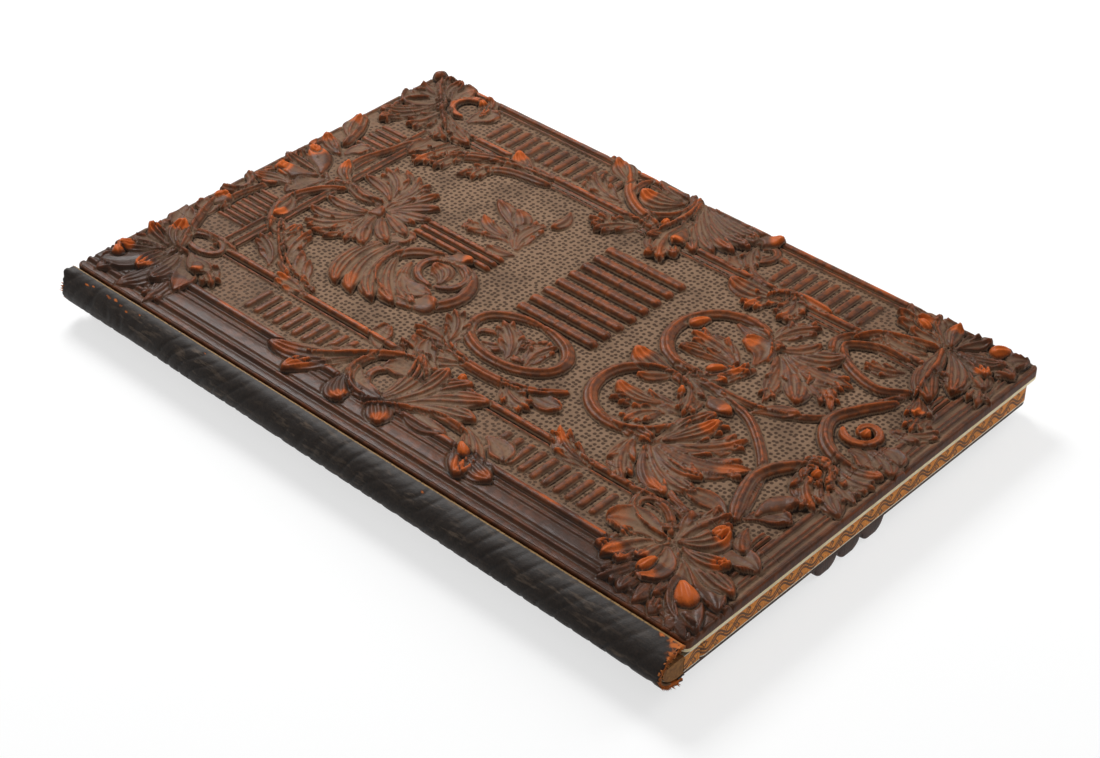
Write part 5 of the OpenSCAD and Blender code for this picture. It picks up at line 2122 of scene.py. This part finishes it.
@dataclass
class LeafBlock:
    """The card leaves with their cloth guards and the two flyleaves.

    A leaf's visible card swells past its solid by the ease on each side. Guards start inside the stubs and reach
    a little under their leaf.
    """

    ease: float = 0.11
    guard_from: float = -0.25
    guard_over: float = 0.02
    bend_from: float = 0.15
    bend_to: float = 7.6

    def build(self) -> None:
        """Makes every leaf and its guard."""
        for k in range(1, 9):
            self.leaf(f"leaf_{k}", f"leaf_guard_{k}", f"leaf_{k}_body", self.ease, "album_card", PAGE, EDGE)
        for side in ("front", "back"):
            self.leaf(f"{side}_flyleaf", f"{side}_flyleaf_guard", f"{side}_flyleaf_body", 0.02,
                      "flyleaf_paper", FLYLEAF, FLYLEAF)
        redress("front_pastedown", ENDPAPER)

    def leaf(self, node: str, guard: str, body: str, ease: float, slot: str, face: Finish, edge: Finish) -> None:
        """Makes one leaf and the guard that carries it.

        Args:
            node: The leaf's solid.
            guard: The guard's solid.
            body: The body that the leaf rides on.
            ease: Swelling on each side.
            slot: Material slot of the leaf.
            face: Finish of its faces.
            edge: Finish of its edges.
        """
        low, high = SIZES.plan(node)
        low[2] -= ease
        high[2] += ease
        card = card_shape(low, high, CORNER_R, min(0.1, (high[2] - low[2]) / 3))
        fit_piece(card.piece(f"{node}_card", [face, edge]), Fit(body, slot, (node,)))
        z = float(low[2] + high[2]) / 2
        line = np.column_stack([np.linspace(self.guard_from, low[0] + self.guard_over, 16), np.full(16, z)])
        cloth = strip_shape(line, low[1], high[1], float(high[2] - low[2]) - 0.02)
        made = cloth.piece(f"{guard}_cloth", [GUARD_LINEN, edge])
        bend_piece(made, Fit("spine", "linen", (guard,)), body, self.bend_from, self.bend_to, z)


# ---------------- studio


@dataclass(frozen=True)
class Lamp:
    """A square soft lamp aimed at the album."""

    name: str
    place: Place
    size: float
    power: float

    def hang(self) -> None:
        """Adds the lamp."""
        data = bpy.data.lights.new(self.name, "AREA")
        data.shape, data.size, data.energy = "SQUARE", self.size, self.power
        lamp = bpy.data.objects.new(self.name, data)
        lamp.location = self.place
        lamp.rotation_mode = "QUATERNION"
        lamp.rotation_quaternion = (-Vector(self.place)).to_track_quat("-Z", "Y")
        bpy.context.scene.collection.objects.link(lamp)


@dataclass
class Studio:
    """The floor, the lamps, the sky and the camera.

    The camera's place is in millimetres from the rim's corner at joint and tail; the floor's size is half its
    width in metres, and the fill is the strength of the sky's own light.
    """

    azimuth: float = -47.2175
    elevation: float = 37.3857
    roll: float = 0.186
    place: Place = (-445.50, -351.17, 540.21)
    lens: float = 78.22
    floor: float = 4.0
    fill: float = 0.24
    lamps: tuple[Lamp, ...] = (
        Lamp("key_lamp", (0.35, 0.75, 0.85), 0.45, 14.0),
        Lamp("side_lamp", (1.0, -0.4, 0.7), 0.7, 5.5),
        Lamp("near_lamp", (-0.8, -0.6, 1.2), 1.2, 1.6),
    )

    def build(self) -> None:
        """Sets up the whole studio."""
        scene = bpy.context.scene
        scene.view_settings.view_transform = "Standard"
        mesh = bpy.data.meshes.new("studio_floor")
        corners = [(x * self.floor, y * self.floor, 0) for x, y in ((-1, -1), (1, -1), (1, 1), (-1, 1))]
        mesh.from_pydata(corners, [], [(0, 1, 2, 3)])
        mesh.materials.append(FLOOR.material())
        floor = stand(mesh)
        for lamp in self.lamps:
            lamp.hang()
        self.sky(scene)
        self.camera(scene)

    def sky(self, scene: bpy.types.Scene) -> None:
        """Lights the scene evenly and shows white behind it.

        Args:
            scene: The scene.
        """
        world = bpy.data.worlds.new("studio_sky")
        world.use_nodes = True
        tree = Tree(world.node_tree)
        strength = tree.node("ShaderNodeMapRange", {}, {
            "Value": tree.seen_rays(), "To Min": self.fill, "To Max": 1.0}).outputs[0]
        back = world.node_tree.nodes["Background"].inputs
        tree.feed(back["Strength"], strength)
        tree.feed(back["Color"], (1.0, 1.0, 1.0, 1.0))
        scene.world = world

    def camera(self, scene: bpy.types.Scene) -> None:
        """Stands the camera where the album is seen from.

        Args:
            scene: The scene.
        """
        a, e, r = (math.radians(x) for x in (self.azimuth, self.elevation, self.roll))
        back = Vector((math.sin(a) * math.cos(e), -math.cos(a) * math.cos(e), math.sin(e)))
        right = Vector((0, 0, 1)).cross(back).normalized()
        up = back.cross(right)
        side = math.cos(r) * right + math.sin(r) * up
        rise = -math.sin(r) * right + math.cos(r) * up
        data = bpy.data.cameras.new("album_camera")
        data.sensor_width, data.lens = 36.0, self.lens
        camera = bpy.data.objects.new("album_camera", data)
        u, v, z = self.place
        turned = Matrix((side, rise, back)).transposed().to_4x4()
        camera.matrix_world = Matrix.Translation(SIZES.metres(u, v, z + SIZES.rim)) @ turned
        scene.collection.objects.link(camera)
        scene.camera = camera


def main() -> None:
    """Builds the dressed album."""
    logging.basicConfig(level=logging.INFO, format="%(name)s: %(message)s")
    Studio().build()
    FrontCover().build()
    BackCover().build()
    Spine().build()
    Joints().build()
    LeafBlock().build()
    bpy.context.view_layer.update()


if __name__ == "__main__":
    main()
